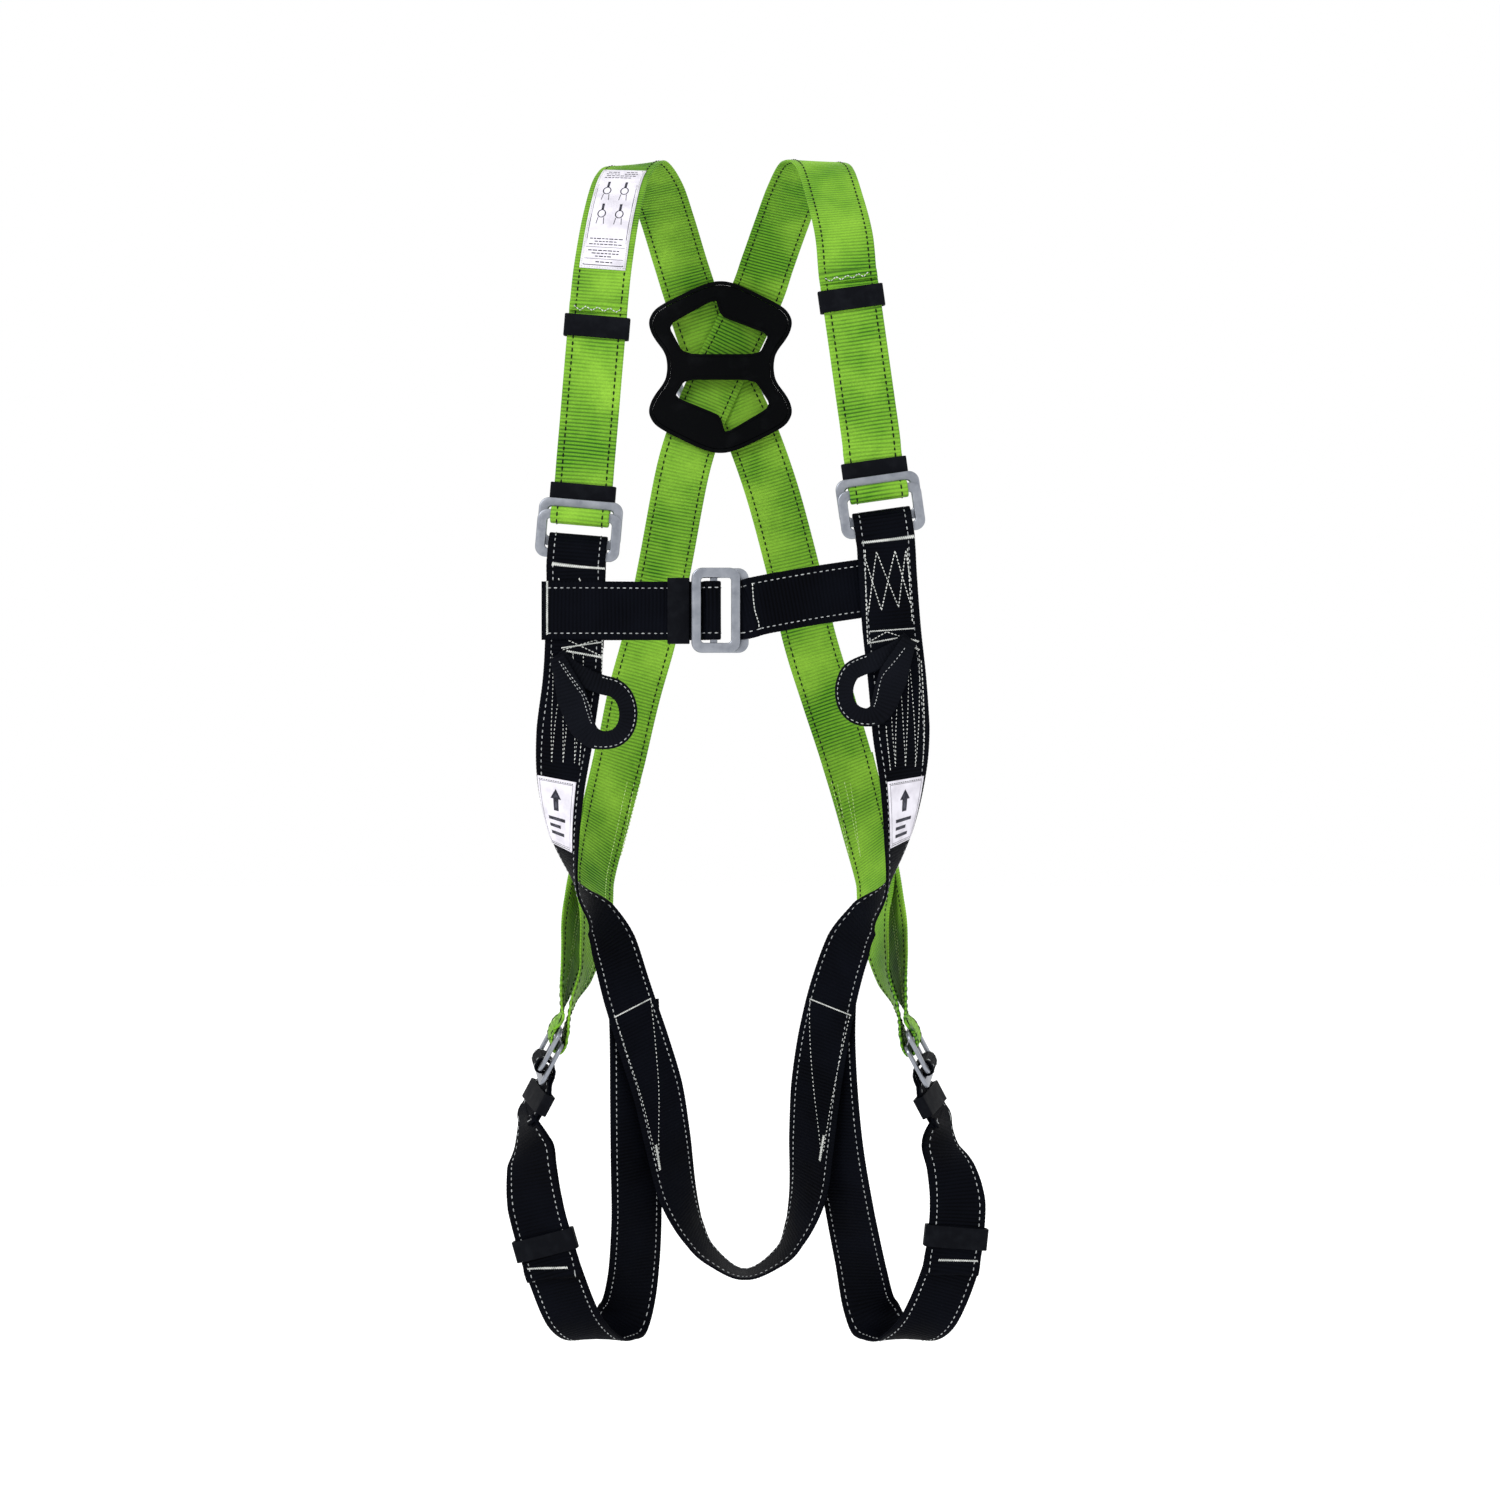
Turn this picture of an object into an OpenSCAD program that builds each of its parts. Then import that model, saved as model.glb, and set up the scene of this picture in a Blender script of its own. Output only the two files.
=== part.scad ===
// Full-body climbing and fall-arrest harness, made from flat woven webbing and pressed steel frames.
// The origin is midway between the tops of the two shoulder straps, where the harness is held up.
// +X is to the right seen from the front, -Y is the front and +Z is up. All lengths are in millimetres.

/* [Webbing] */
// Width of the woven webbing
web_w = 45; // [44:0.5:45.5]
// Thickness of one layer of webbing
web_t = 2; // [1.6:0.1:2]
// Rings swept between two route points
steps = 3; // [2:1:5]

/* [Buckle frames] */
// Long side of a steel frame
frame_l = 65; // [62:1:66]
// Short side of a steel frame
frame_h = 37; // [36:0.5:37]
// Width of a frame's bar
bar_w = 7; // [6:0.5:7]
// Thickness of a frame's plate
plate_t = 3; // [2.5:0.1:3]
// Outer corner radius of a frame
frame_r = 8; // [6:0.5:9]
// Short side of the larger chest frame
chest_frame_h = 44; // [43:0.5:45]

/* [Dorsal ring] */
// Radius of the ring's round bar
ring_bar_r = 4; // [3.5:0.1:4]
// Half the distance between the ring's two arms
ring_half = 37; // [36:1:38]
// Straight length of each arm
ring_arm = 10; // [6:1:14]
// Angle that the ring hangs away from the straps
ring_lean = 44; // [42:1:46]

/* [Keepers] */
// Length of a keeper along the strap
keeper_l = 17; // [14:1:18]
// Wall thickness of a keeper
keeper_wall = 1.6; // [1.2:0.1:1.8]
// Room inside a keeper across its two layers
keeper_room = 6; // [5.6:0.1:6.4]

/* [Textile loops] */
// Thickness of a sewn attachment loop
loop_t = 4.4; // [3.6:0.2:4.6]
// Width of the loop's band
loop_band = 14; // [12:1:15]

/* [Hidden] */
$fn = 48;

// A buckle's place: centre, yaw and roll. Its own axes are u across the strap, v along it and n outwards.
left_shoulder = [[-120, -112, -312], 0, 4.8];
right_shoulder = [[113, -112, -293], 0, -8];
left_leg = [[-148, -40, -711], 82, 208];
right_leg = [[147, -40, -713], -82, 152];
chest = [[-14, -123, -370], 0, -90];
// How far the rear frame sits behind and beyond the front frame
rear_n = -6;
rear_v = 9.5;

function axis_u(b) = [cos(b[1]) * cos(b[2]), sin(b[1]), -cos(b[1]) * sin(b[2])];
function axis_v(b) = [sin(b[2]), 0, cos(b[2])];
function axis_n(b) = [sin(b[1]) * cos(b[2]), -cos(b[1]), -sin(b[1]) * sin(b[2])];
// A route point in a buckle's own axes, with the strap's width along plus or minus u
function at(b, v, n, side) = [b[0] + v * axis_v(b) + n * axis_n(b), side * axis_u(b)];
function all_at(b, route, side) = [for (p = route) at(b, p[0], p[1], side)];
// Middle of the two layers that leave a buckle. A leg strap turns about it, below its buckle.
layers_n = -12.6;
leg_turn = 12;
function turned(b, turn) = let (low = [b[0], b[1] + turn, b[2]])
    [b[0] + layers_n * (axis_n(b) - axis_n(low)), low[1], low[2]];
left_leg_low = turned(left_leg, -leg_turn);
right_leg_low = turned(right_leg, leg_turn);
// A free route point: x, y, z, then the yaw and pitch of the strap's width
function free(p) = [[p[0], p[1], p[2]],
    [cos(p[4]) * cos(p[3]), cos(p[4]) * sin(p[3]), sin(p[4])]];
function all_free(route) = [for (p = route) free(p)];
// The same point lifted off the layer below it, for a strap that runs mostly upright
function lifted(p, d) = free([p[0] - d * sin(p[3]), p[1] + d * cos(p[3]), p[2], p[3], p[4]]);
function all_lifted(route, d) = [for (p = route) lifted(p, d)];
function backwards(list) = [for (i = [len(list) - 1 : -1 : 0]) list[i]];

function unit(v) = v / norm(v);
function curve(a, b, c, d, t) =
    0.5 * ((2 * b) + (c - a) * t + (2 * a - 5 * b + 4 * c - d) * t * t
    + (3 * b - a - 3 * c + d) * t * t * t);
function clamped(i, n) = max(0, min(n, i));
// Catmull-Rom points through a route, each with its width direction
function samples(r) = [
    for (i = [0 : len(r) - 2], k = [0 : steps - 1])
        let (n = len(r) - 1, t = k / steps,
            a = r[clamped(i - 1, n)], b = r[i], c = r[i + 1], d = r[clamped(i + 2, n)])
        [curve(a[0], b[0], c[0], d[0], t), (1 - t) * b[1] + t * c[1]],
    r[len(r) - 1]];
function tangent(s, i) = unit(s[clamped(i + 1, len(s) - 1)][0] - s[clamped(i - 1, len(s) - 1)][0]);
function across(s, i) = let (t = tangent(s, i), w = s[i][1]) unit(w - (w * t) * t);
function outwards(s, i) = cross(tangent(s, i), across(s, i));
function ring_at(s, i, w, t, lift) =
    let (c = s[i][0] + lift * outwards(s, i), a = across(s, i) * w / 2, n = outwards(s, i) * t / 2)
    [c + a + n, c - a + n, c - a - n, c + a - n];

// A flat strap swept along samples s, from sample "first" to sample "last"
module strip(s, w = web_w, t = web_t, lift = 0, first = 0, last = -1) {
    end = last < 0 ? len(s) - 1 : last;
    rings = [for (i = [first : end]) each ring_at(s, i, w, t, lift)];
    count = end - first;
    sides = [for (i = [0 : count - 1], k = [0 : 3])
        let (a = 4 * i + k, b = 4 * i + (k + 1) % 4)
        each (k == 2 ? [[a, a + 4, b + 4], [a, b + 4, b]] : [[a, a + 4, b], [b, a + 4, b + 4]])];
    caps = [[0, 1, 2], [0, 2, 3],
        [4 * count + 2, 4 * count + 1, 4 * count], [4 * count + 3, 4 * count + 2, 4 * count]];
    polyhedron(rings, concat(caps, sides));
}

// Threading of the adjusting strap through a pair of frames, from its live end to its tail, as [v, n]
threading = [[46, -13.9], [32, -13.9], [24, -13.8], [16.5, -12.6], [11.5, -9.2], [9.4, -5], [9, -1],
    [10.2, 2.6], [13, 3.8], [16, 3.8], [19, 2.7], [19.9, 0], [19.3, -3], [18.3, -6], [18, -8.6],
    [19.2, -10.6], [22, -11.3], [25, -11.3], [32, -11.3], [46, -11.3]];
// Fold of the fixed strap around both frames, from its outer layer to its inner one
fold = [[-24, 2.2], [-18, 3.2], [-11, 3.2], [-6, 1.6], [-1.6, -2], [0.2, -5.2], [-0.4, -8.4],
    [-3.5, -9.8], [-9, -9.5], [-17, -7]];

// Front of a shoulder strap, from just above the buckle to the shoulder: x, y, z, yaw, pitch
left_front = [[-115.2, -99.4, -254, 180, 0], [-112.7, -99.4, -225, 180, 0],
    [-109.4, -99.4, -185, 180, 0], [-106, -99.4, -145, 180, 0], [-104.8, -99.4, -130, 180, 0]];
left_back = [[-102, -87, -98, 180, 0], [-97, -56, -54, 180, -3], [-90, -22, -18, 180, -6],
    [-79, 8, -3.4, 180, -6], [-66, 40, -14, 180, -3], [-57, 72, -35, 180, 0], [-48, 100, -62, 180, 0],
    [-40, 115.3, -86, 180, 0], [-26, 125, -128, 180, 0], [-13, 127, -153, 180, 0],
    [0, 124, -178, 180, 0], [15, 119, -212, 180, 0], [32, 114, -262, 180, 0],
    [50, 112, -330, 180, 0], [63, 111, -385, 178, 0], [79, 109, -437, 168, 0],
    [94, 102, -486, 157, 0], [107, 80, -537, 142, 0], [115, 46, -578, 124, 0],
    [114, 6, -618, 112, 0], [119, -22, -654, 102, 0], [128, -36, -679, 92, 0]];
right_front = [[105.4, -99.4, -235, 0, 0], [100.5, -99.4, -200, 0, 0],
    [94.9, -99.4, -160, 0, 0], [88.7, -99.4, -116, 0, 0], [87.3, -99.4, -106, 0, 0]];
right_back = [[85, -86, -76, 0, 0], [79, -56, -42, 0, -1], [71, -20, -9.6, 0, -3], [60, 16, -1.4, 0, -3],
    [49, 44, -15, 0, -1], [38, 76, -39, 0, 0], [27, 102.6, -66, 0, 0], [18, 114.7, -90, 0, 0],
    [0, 121, -128, 0, 0], [-13, 122.8, -153, 0, 0], [-25, 121, -180, 0, 0],
    [-35, 116.5, -206, 0, 0], [-46, 113, -245, 0, 0], [-60, 112, -320, 0, 0],
    [-72, 111, -378, 2, 0], [-86, 108, -430, 12, 0], [-97, 101, -482, 24, 0],
    [-108, 80, -532, 38, 0], [-116, 47, -577, 55, 0], [-115, 6, -616, 68, 0],
    [-120, -22, -652, 78, 0], [-129, -36, -677, 88, 0]];
// The green end that returns from a leg buckle and is sewn to its own strap at the back of the hip
left_return = [[-136, -34, -668, 84, 0], [-132, -14, -642, 74, 0], [-128, 14, -611, 66, 0],
    [-119.5, 49.5, -574, 55, 0], [-110, 82.6, -531, 38, 0], [-98.4, 104.2, -483, 24, 0]];
right_return = [[134, -34, -670, 96, 0], [131, -14, -644, 106, 0], [127, 14, -613, 113, 0],
    [118.6, 48.6, -575, 124, 0], [109, 82.6, -536, 142, 0], [95.4, 105.2, -487, 157, 0]];

left_shoulder_route = concat(
    all_lifted(backwards(left_front), 1.3), backwards(all_at(left_shoulder, threading, -1)),
    all_lifted(left_front, -1.3), all_free(left_back), backwards(all_at(right_leg, fold, -1)),
    all_free(right_return));
right_shoulder_route = concat(
    all_lifted(backwards(right_front), -1.3), backwards(all_at(right_shoulder, threading, 1)),
    all_lifted(right_front, 1.3), all_free(right_back), backwards(all_at(left_leg, fold, 1)),
    all_free(left_return));

// Front straps and seat strap are one length: down the left front, under the seat, up the right front
left_down = [[-122, -113.3, -352, 0, 0], [-123, -113.3, -392, 0, 0], [-125, -113.3, -425, 0, 0],
    [-130, -112, -462, -6, 0], [-134, -104, -505, -34, 0], [-132, -92, -548, -60, 0],
    [-123, -80, -585, -90, 0], [-106, -68, -609, -124, 0], [-95, -62, -632, -140, 0],
    [-84.5, -57, -669, -146, 0], [-72.5, -50, -708, -150, 0], [-61, -39, -748, -148, 0],
    [-53.5, -26, -789, -140, 0], [-46, -12, -831, -129, 0], [-33, -1, -866, -112, 0],
    [-18, 4, -887, -103, 0]];
seat_bottom = [[8, 8, -902, -90, 0]];
right_up = [[35, 4, -887, -77, 0], [48, -1, -866, -68, 0], [58, -12, -831, -51, 0],
    [61, -26, -789, -40, 0], [64, -39, -748, -32, 0], [69.5, -50, -708, -30, 0],
    [77.5, -57, -669, -34, 0], [89, -62, -632, -40, 0], [102, -68, -609, -56, 0],
    [119, -80, -585, -90, 0], [127, -92, -546, -118, 0], [130, -104, -500, -143, 0],
    [128, -112, -460, -173, 0], [125, -113.3, -422, -180, 0], [121, -113.3, -385, -180, 0],
    [118, -113.3, -345, -180, 0]];
left_inner_end = [[-121.5, -110.3, -341, 0, 0], [-122, -110.6, -355, 0, 0], [-123, -110.6, -398, 0, 0]];
right_inner_end = [[117, -110.3, -323, -180, 0], [118, -110.6, -345, -180, 0], [121, -110.6, -385, -180, 0]];
seat_route = concat(backwards(all_free(left_inner_end)), backwards(all_at(left_shoulder, fold, 1)),
    all_free(left_down), all_free(seat_bottom), all_free(right_up),
    all_at(right_shoulder, fold, -1), all_free(right_inner_end));

// A leg strap: down behind the seat strap, forward under the thigh and up to its buckle
left_leg_inner = [[-80, -49, -676, -150, 0], [-79, -47, -706, -150, 0], [-79, -40, -752, -150, 0],
    [-79, -30, -800, -150, 0], [-79, -15, -850, -150, 0], [-82, 2, -897, -154, 0],
    [-88, 9, -930, -164, 0], [-97, 0, -944, -174, 0], [-111, -24, -947, 178, 0],
    [-127, -46, -929, 176, 0]];
left_leg_outer = [[-141, -60, -892, 174, 0], [-149.5, -62, -864, 171, 0], [-157, -61.5, -835, 168, 0],
    [-160.3, -55, -808, 150, 0], [-161.5, -44.5, -790, 130, 0]];
right_leg_inner = [[76, -49, -676, -30, 0], [75.5, -47, -706, -30, 0], [78, -40, -750, -30, 0],
    [83, -30, -796, -30, 0], [92, -15, -847, -30, 0], [101.5, 2, -894, -26, 0],
    [109, 9, -928, -16, 0], [119, 0, -943, -6, 0], [135, -24, -947, 2, 0],
    [153, -46, -929, 4, 0]];
right_leg_outer = [[169, -60, -889, 6, 0], [173.5, -62, -862, 9, 0], [175.3, -61.5, -833, 12, 0],
    [171, -55, -808, 31, 0], [164, -44.5, -790, 50, 0]];
// The far ends of the threading at a leg buckle, where the strap has turned
near_threading = [for (p = threading) if (p[0] < 26) p];
leg_threaded_in = [[33, -11.3], [43, -11.3], [53, -11.3], [60, -11.3]];
leg_threaded_out = [[60, -13.9], [53, -13.9], [43, -13.9], [33, -13.9]];
function leg_threading(b, low, side) = concat(all_at(low, leg_threaded_out, side),
    all_at(b, near_threading, side), all_at(low, leg_threaded_in, side));
left_leg_route = concat(all_free(left_leg_inner), all_lifted(left_leg_outer, -1.3),
    leg_threading(left_leg, left_leg_low, 1), all_lifted(backwards(left_leg_outer), 1.3));
right_leg_route = concat(all_free(right_leg_inner), all_lifted(right_leg_outer, 1.3),
    leg_threading(right_leg, right_leg_low, -1), all_lifted(backwards(right_leg_outer), -1.3));

// The adjusting strap's turn around the slide bar, from its live layer to its tail
chest_turn = [[28, -13], [22, -13], [15, -13], [9, -11.6], [4.5, -8], [1, -6.3], [-1.6, -5.6], [-2.8, -3],
    [-1.4, -0.7], [1.5, -0.2], [5.5, -0.4], [8.2, -2], [9.4, -4.5], [9.6, -7], [11.2, -9.6], [15, -10.5],
    [22, -10.5], [28, -10.5]];
// The fixed strap's fold around the larger frame, from its front layer to its rear one
chest_fold = [[-18.5, -3.7], [-16.5, -5], [-16.3, -8], [-18.5, -9.4]];
chest_adjusting_route = concat(
    all_free([[-141, -108.2, -370, 90, 90], [-120, -108.2, -370, 90, 90],
        [-100, -108.4, -370, 90, 90], [-75, -110, -370, 90, 90]]),
    all_at(chest, chest_turn, 1),
    all_free([[-75, -112.6, -370, 90, 90], [-100, -115.6, -370, 90, 90],
        [-120, -115.8, -370, 90, 90], [-148, -115.8, -370, 90, 90]]));
chest_fixed_route = concat(
    all_free([[139, -108.2, -348, 90, 90], [116, -107.9, -350, 90, 90],
        [95, -107.8, -353, 90, 90], [60, -112, -358.5, 90, 90],
        [20, -117.8, -366, 90, 90], [12, -119.3, -368.3, 90, 90]]),
    all_at(chest, chest_fold, 1),
    all_free([[12, -113.7, -368.3, 90, 90], [20, -115.2, -366, 90, 90], [38, -113.2, -362, 90, 90]]));

module placed(b) {
    translate(b[0]) rotate([0, b[2], 0]) rotate([0, 0, b[1]]) rotate([90, 0, 0]) children();
}
module rounded(w, h, r) {
    square([w - 2 * r, h], center = true);
    square([w, h - 2 * r], center = true);
    for (x = [-1, 1], y = [-1, 1])
        translate([x * (w / 2 - r), y * (h / 2 - r)]) circle(r);
}
// One pressed steel frame, flat in its own u and v
module steel_frame(h = frame_h) {
    linear_extrude(plate_t, center = true) difference() {
        rounded(frame_l, h, frame_r);
        rounded(frame_l - 2 * bar_w - 1, h - 2 * bar_w, 2.5);
    }
}
module front_frame(b) { color("silver") placed(b) steel_frame(); }
module rear_frame(b) { color("silver") placed(b) translate([0, rear_v, rear_n]) steel_frame(); }

// A closed band around two layers of webbing, standing on its own centre
module keeper(centre, yaw, roll) {
    color("black") placed([centre, yaw, roll]) rotate([90, 0, 0])
        linear_extrude(keeper_l, center = true) difference() {
            rounded(web_w + 2.6 + 2 * keeper_wall, keeper_room + 2 * keeper_wall, 2.4);
            rounded(web_w + 2.6, keeper_room, 1);
        }
}

module left_shoulder_strap() { color("yellowgreen") strip(samples(left_shoulder_route)); }
module right_shoulder_strap() { color("yellowgreen") strip(samples(right_shoulder_route)); }
module front_and_seat_strap() { color("dimgray") strip(samples(seat_route)); }
module left_leg_strap() { color("dimgray") strip(samples(left_leg_route)); }
module right_leg_strap() { color("dimgray") strip(samples(right_leg_route)); }
module chest_adjusting_strap() { color("dimgray") strip(samples(chest_adjusting_route)); }
module chest_fixed_strap() { color("dimgray") strip(samples(chest_fixed_route)); }

// The plate behind the shoulders, on the wearer's side of the crossed straps
plate_y = 110.2;
plate_centre = [-13, -153];
plate_half = [[9, 68.5], [45, 52], [54, 46], [58, 38], [55, 28], [43.5, 13], [41.5, 0],
    [43.5, -13], [55, -28], [58, -38], [54, -46], [45, -52], [9, -68.5]];
module plate_outline() {
    polygon(concat(plate_half, [for (p = backwards(plate_half)) [-p[0], p[1]]]));
}
module plate_window() {
    polygon([[-44.5, 36], [-4, 58], [-1, 47], [3, 42], [41, 28], [33, 11], [-31, 11]]);
}
module lower_plate_window() {
    polygon([[43, -33], [4, -56], [1, -45], [-2, -40], [-39, -25], [-30, -10.5], [29, -10.5]]);
}
module dorsal_plate() {
    color("dimgray") translate([plate_centre[0], plate_y, plate_centre[1]]) rotate([90, 0, 0])
        linear_extrude(3.4, center = true) difference() {
            plate_outline();
            plate_window();
            lower_plate_window();
        }
}

// The ring turns on its own straight bar, between the plate's middle bar and the crossed straps
ring_axis = [-13, 116.8, -153];
module dorsal_ring() {
    color("silver") translate(ring_axis) {
        rotate([0, 90, 0]) cylinder(r = ring_bar_r, h = 2 * ring_half + ring_bar_r, center = true);
        rotate([ring_lean, 0, 0]) {
            for (x = [-1, 1]) translate([x * ring_half, 0, -ring_arm])
                cylinder(r = ring_bar_r - 0.2, h = ring_arm + 2);
            translate([0, 0, -ring_arm]) rotate([90, 0, 0]) rotate_extrude(angle = 180, start = 180)
                translate([ring_half, 0]) circle(ring_bar_r - 0.2);
        }
    }
}

module chest_front_frame() { color("silver") placed(chest) steel_frame(); }
module chest_rear_frame() {
    color("silver") placed(chest) translate([0, -3, -6.5]) steel_frame(chest_frame_h);
}
module chest_slide_bar() {
    color("silver") placed(chest) translate([0, 1.8, -3]) cube([54, 5.6, 2.4], center = true);
}

// A textile attachment loop, flat in X and Z, hinged where it leaves the strap's edge
loop_r = 31;
loop_gap = 2.4;
left_loop_axis = [-107, -118.4, -447];
right_loop_axis = [105.5, -118.4, -433];
module loop_ring(axis, side) {
    color("black") translate(axis) rotate([90, 0, 0]) linear_extrude(loop_t, center = true)
        intersection() {
            difference() {
                circle(loop_r);
                circle(loop_r - loop_band);
            }
            translate([side * (loop_gap + loop_r), 0]) square([2 * loop_r, 3 * loop_r], center = true);
        }
}
module loop_tab(axis, side) {
    color("black") translate(axis) rotate([90, 0, 0]) linear_extrude(loop_t, center = true)
        polygon([for (p = [[loop_gap, 28], [loop_gap, -28], [18, -34], [27, -20], [27, 24], [16, 34]])
            [-side * p[0], p[1]]]);
}
module left_loop() { loop_ring(left_loop_axis, 1); }
module left_loop_tab() { loop_tab(left_loop_axis, 1); }
module right_loop() { loop_ring(right_loop_axis, -1); }
module right_loop_tab() { loop_tab(right_loop_axis, -1); }

module left_shoulder_front_frame() { front_frame(left_shoulder); }
module left_shoulder_rear_frame() { rear_frame(left_shoulder); }
module right_shoulder_front_frame() { front_frame(right_shoulder); }
module right_shoulder_rear_frame() { rear_frame(right_shoulder); }
module left_leg_front_frame() { front_frame(left_leg); }
module left_leg_rear_frame() { rear_frame(left_leg); }
module right_leg_front_frame() { front_frame(right_leg); }
module right_leg_rear_frame() { rear_frame(right_leg); }

// A keeper beside a buckle, on the two layers that leave it
keeper_v = 31.9;
leg_keeper_v = 40.8;
module buckle_keeper(b, v) {
    keeper(b[0] + v * axis_v(b) + layers_n * axis_n(b), b[1], b[2]);
}
module left_lower_keeper() { buckle_keeper(left_shoulder, keeper_v); }
module right_lower_keeper() { buckle_keeper(right_shoulder, keeper_v); }
module left_leg_upper_keeper() { buckle_keeper(left_leg_low, leg_keeper_v); }
module right_leg_upper_keeper() { buckle_keeper(right_leg_low, leg_keeper_v); }
module left_upper_keeper() { keeper([-106.4, -99.4, -150], 0, 4.8); }
module right_upper_keeper() { keeper([90.4, -99.4, -128], 0, -8); }
module chest_keeper() { keeper([-43, -111.2, -370], 0, -90); }
module left_leg_lower_keeper() { keeper([-149, -62, -866], -9.8, -15.8); }
module right_leg_lower_keeper() { keeper([173.8, -62, -860], 9.4, 6); }

// Labels are thin strips that lie on the straps, above the webbing by half of each thickness
label_t = 0.6;
label_lift = 2.4;
shoulder_label_start = steps * (2 * len(left_front) + len(threading) - 1) + 1;
module label(route, width, first, last) {
    strip(samples(route), width, label_t, label_lift, first, last);
}
module instruction_label() {
    color("lavender") label(left_shoulder_route, 37, shoulder_label_start,
        shoulder_label_start + 3 * steps - 1);
}
left_down_start = steps * (len(left_inner_end) + len(fold));
right_up_start = left_down_start + steps * (len(left_down) + len(seat_bottom));
module left_hip_label() {
    color("lavender") label(seat_route, 36, left_down_start + 4 * steps, left_down_start + 5 * steps + 1);
}
module right_hip_label() {
    color("lavender") label(seat_route, 36, right_up_start + 10 * steps - 1, right_up_start + 11 * steps);
}

left_shoulder_strap();
right_shoulder_strap();
front_and_seat_strap();
left_leg_strap();
right_leg_strap();
chest_adjusting_strap();
chest_fixed_strap();
dorsal_plate();
dorsal_ring();
left_shoulder_front_frame();
left_shoulder_rear_frame();
right_shoulder_front_frame();
right_shoulder_rear_frame();
left_leg_front_frame();
left_leg_rear_frame();
right_leg_front_frame();
right_leg_rear_frame();
chest_front_frame();
chest_rear_frame();
chest_slide_bar();
left_upper_keeper();
left_lower_keeper();
right_upper_keeper();
right_lower_keeper();
chest_keeper();
left_leg_upper_keeper();
left_leg_lower_keeper();
right_leg_upper_keeper();
right_leg_lower_keeper();
left_loop_tab();
left_loop();
right_loop_tab();
right_loop();
instruction_label();
left_hip_label();
right_hip_label();
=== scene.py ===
"""Looks of the full-body climbing harness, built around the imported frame.

Every strap is ribbed webbing swept along the same route as its CAD solid, with tracer threads and sewn
patterns as real stitches. Lengths are millimetres in the row frame until a mesh is made, then metres.
"""

import math

import bmesh
import bpy
import numpy as np
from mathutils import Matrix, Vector


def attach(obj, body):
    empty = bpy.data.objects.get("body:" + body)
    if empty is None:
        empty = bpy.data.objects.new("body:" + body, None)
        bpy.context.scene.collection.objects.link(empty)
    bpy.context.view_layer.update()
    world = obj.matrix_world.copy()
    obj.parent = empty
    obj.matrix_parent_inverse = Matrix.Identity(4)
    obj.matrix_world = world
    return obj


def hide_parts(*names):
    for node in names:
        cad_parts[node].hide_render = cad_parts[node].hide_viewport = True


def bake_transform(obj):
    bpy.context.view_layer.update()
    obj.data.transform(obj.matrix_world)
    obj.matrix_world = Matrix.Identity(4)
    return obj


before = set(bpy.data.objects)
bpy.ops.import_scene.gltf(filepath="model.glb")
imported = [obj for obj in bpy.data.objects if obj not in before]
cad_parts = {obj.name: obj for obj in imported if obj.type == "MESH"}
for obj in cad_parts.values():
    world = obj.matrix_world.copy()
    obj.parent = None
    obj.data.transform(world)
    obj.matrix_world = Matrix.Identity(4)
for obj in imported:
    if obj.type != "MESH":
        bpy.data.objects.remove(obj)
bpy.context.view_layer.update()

MM = 0.001
WEB_W, WEB_T = 45.0, 2.0
RIB = 2.9  # from one cross rib of the webbing to the next
RIB_HIGH = 0.34
TRACER_U = 17.4  # the tracer rows' distance from the strap's middle
FRAME_L, FRAME_H, CHEST_FRAME_H, BAR_W, PLATE_T, FRAME_R = 65, 37, 44, 7, 3, 8
KEEPER_L, KEEPER_WALL, KEEPER_ROOM = 17, 1.6, 6
LOOP_BAND = 14
rng = np.random.default_rng(7)

# ---------- Routes, as in the CAD source ----------


def turned(degrees):
    return math.cos(math.radians(degrees)), math.sin(math.radians(degrees))


def unit(v):
    return np.asarray(v, float) / np.linalg.norm(v)


def axes(buckle):
    """A buckle's own directions: u across the strap, v along it and n outwards."""
    (cy, sy), (cr, sr) = turned(buckle[1]), turned(buckle[2])
    return np.array([cy * cr, sy, -cy * sr]), np.array([sr, 0, cr]), np.array([sy * cr, -cy, -sy * sr])


def at(buckle, v, n, side):
    u_axis, v_axis, n_axis = axes(buckle)
    return np.array(buckle[0]) + v * v_axis + n * n_axis, side * u_axis


def all_at(buckle, route, side):
    return [at(buckle, v, n, side) for v, n in route]


def free(p, lift=0.0):
    """A free route point x, y, z, yaw, pitch, lifted off the layer below it."""
    (cy, sy), (cp, sp) = turned(p[3]), turned(p[4])
    return np.array([p[0] - lift * sy, p[1] + lift * cy, p[2]]), np.array([cp * cy, cp * sy, sp])


def all_free(route, lift=0.0):
    return [free(p, lift) for p in route]


def backwards(route):
    return route[::-1]


left_shoulder = [[-120, -112, -312], 0, 4.8]
right_shoulder = [[113, -112, -293], 0, -8]
left_leg = [[-148, -40, -711], 82, 208]
right_leg = [[147, -40, -713], -82, 152]
chest = [[-14, -123, -370], 0, -90]
REAR_V, REAR_N = 9.5, -6
LAYERS_N, LEG_TURN = -12.6, 12


def low_end(buckle, turn):
    """Where a leg buckle's two layers have turned, about their own middle."""
    low = [buckle[0], buckle[1] + turn, buckle[2]]
    return [np.array(buckle[0]) + LAYERS_N * (axes(buckle)[2] - axes(low)[2]), *low[1:]]


left_leg_low, right_leg_low = low_end(left_leg, -LEG_TURN), low_end(right_leg, LEG_TURN)

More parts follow.
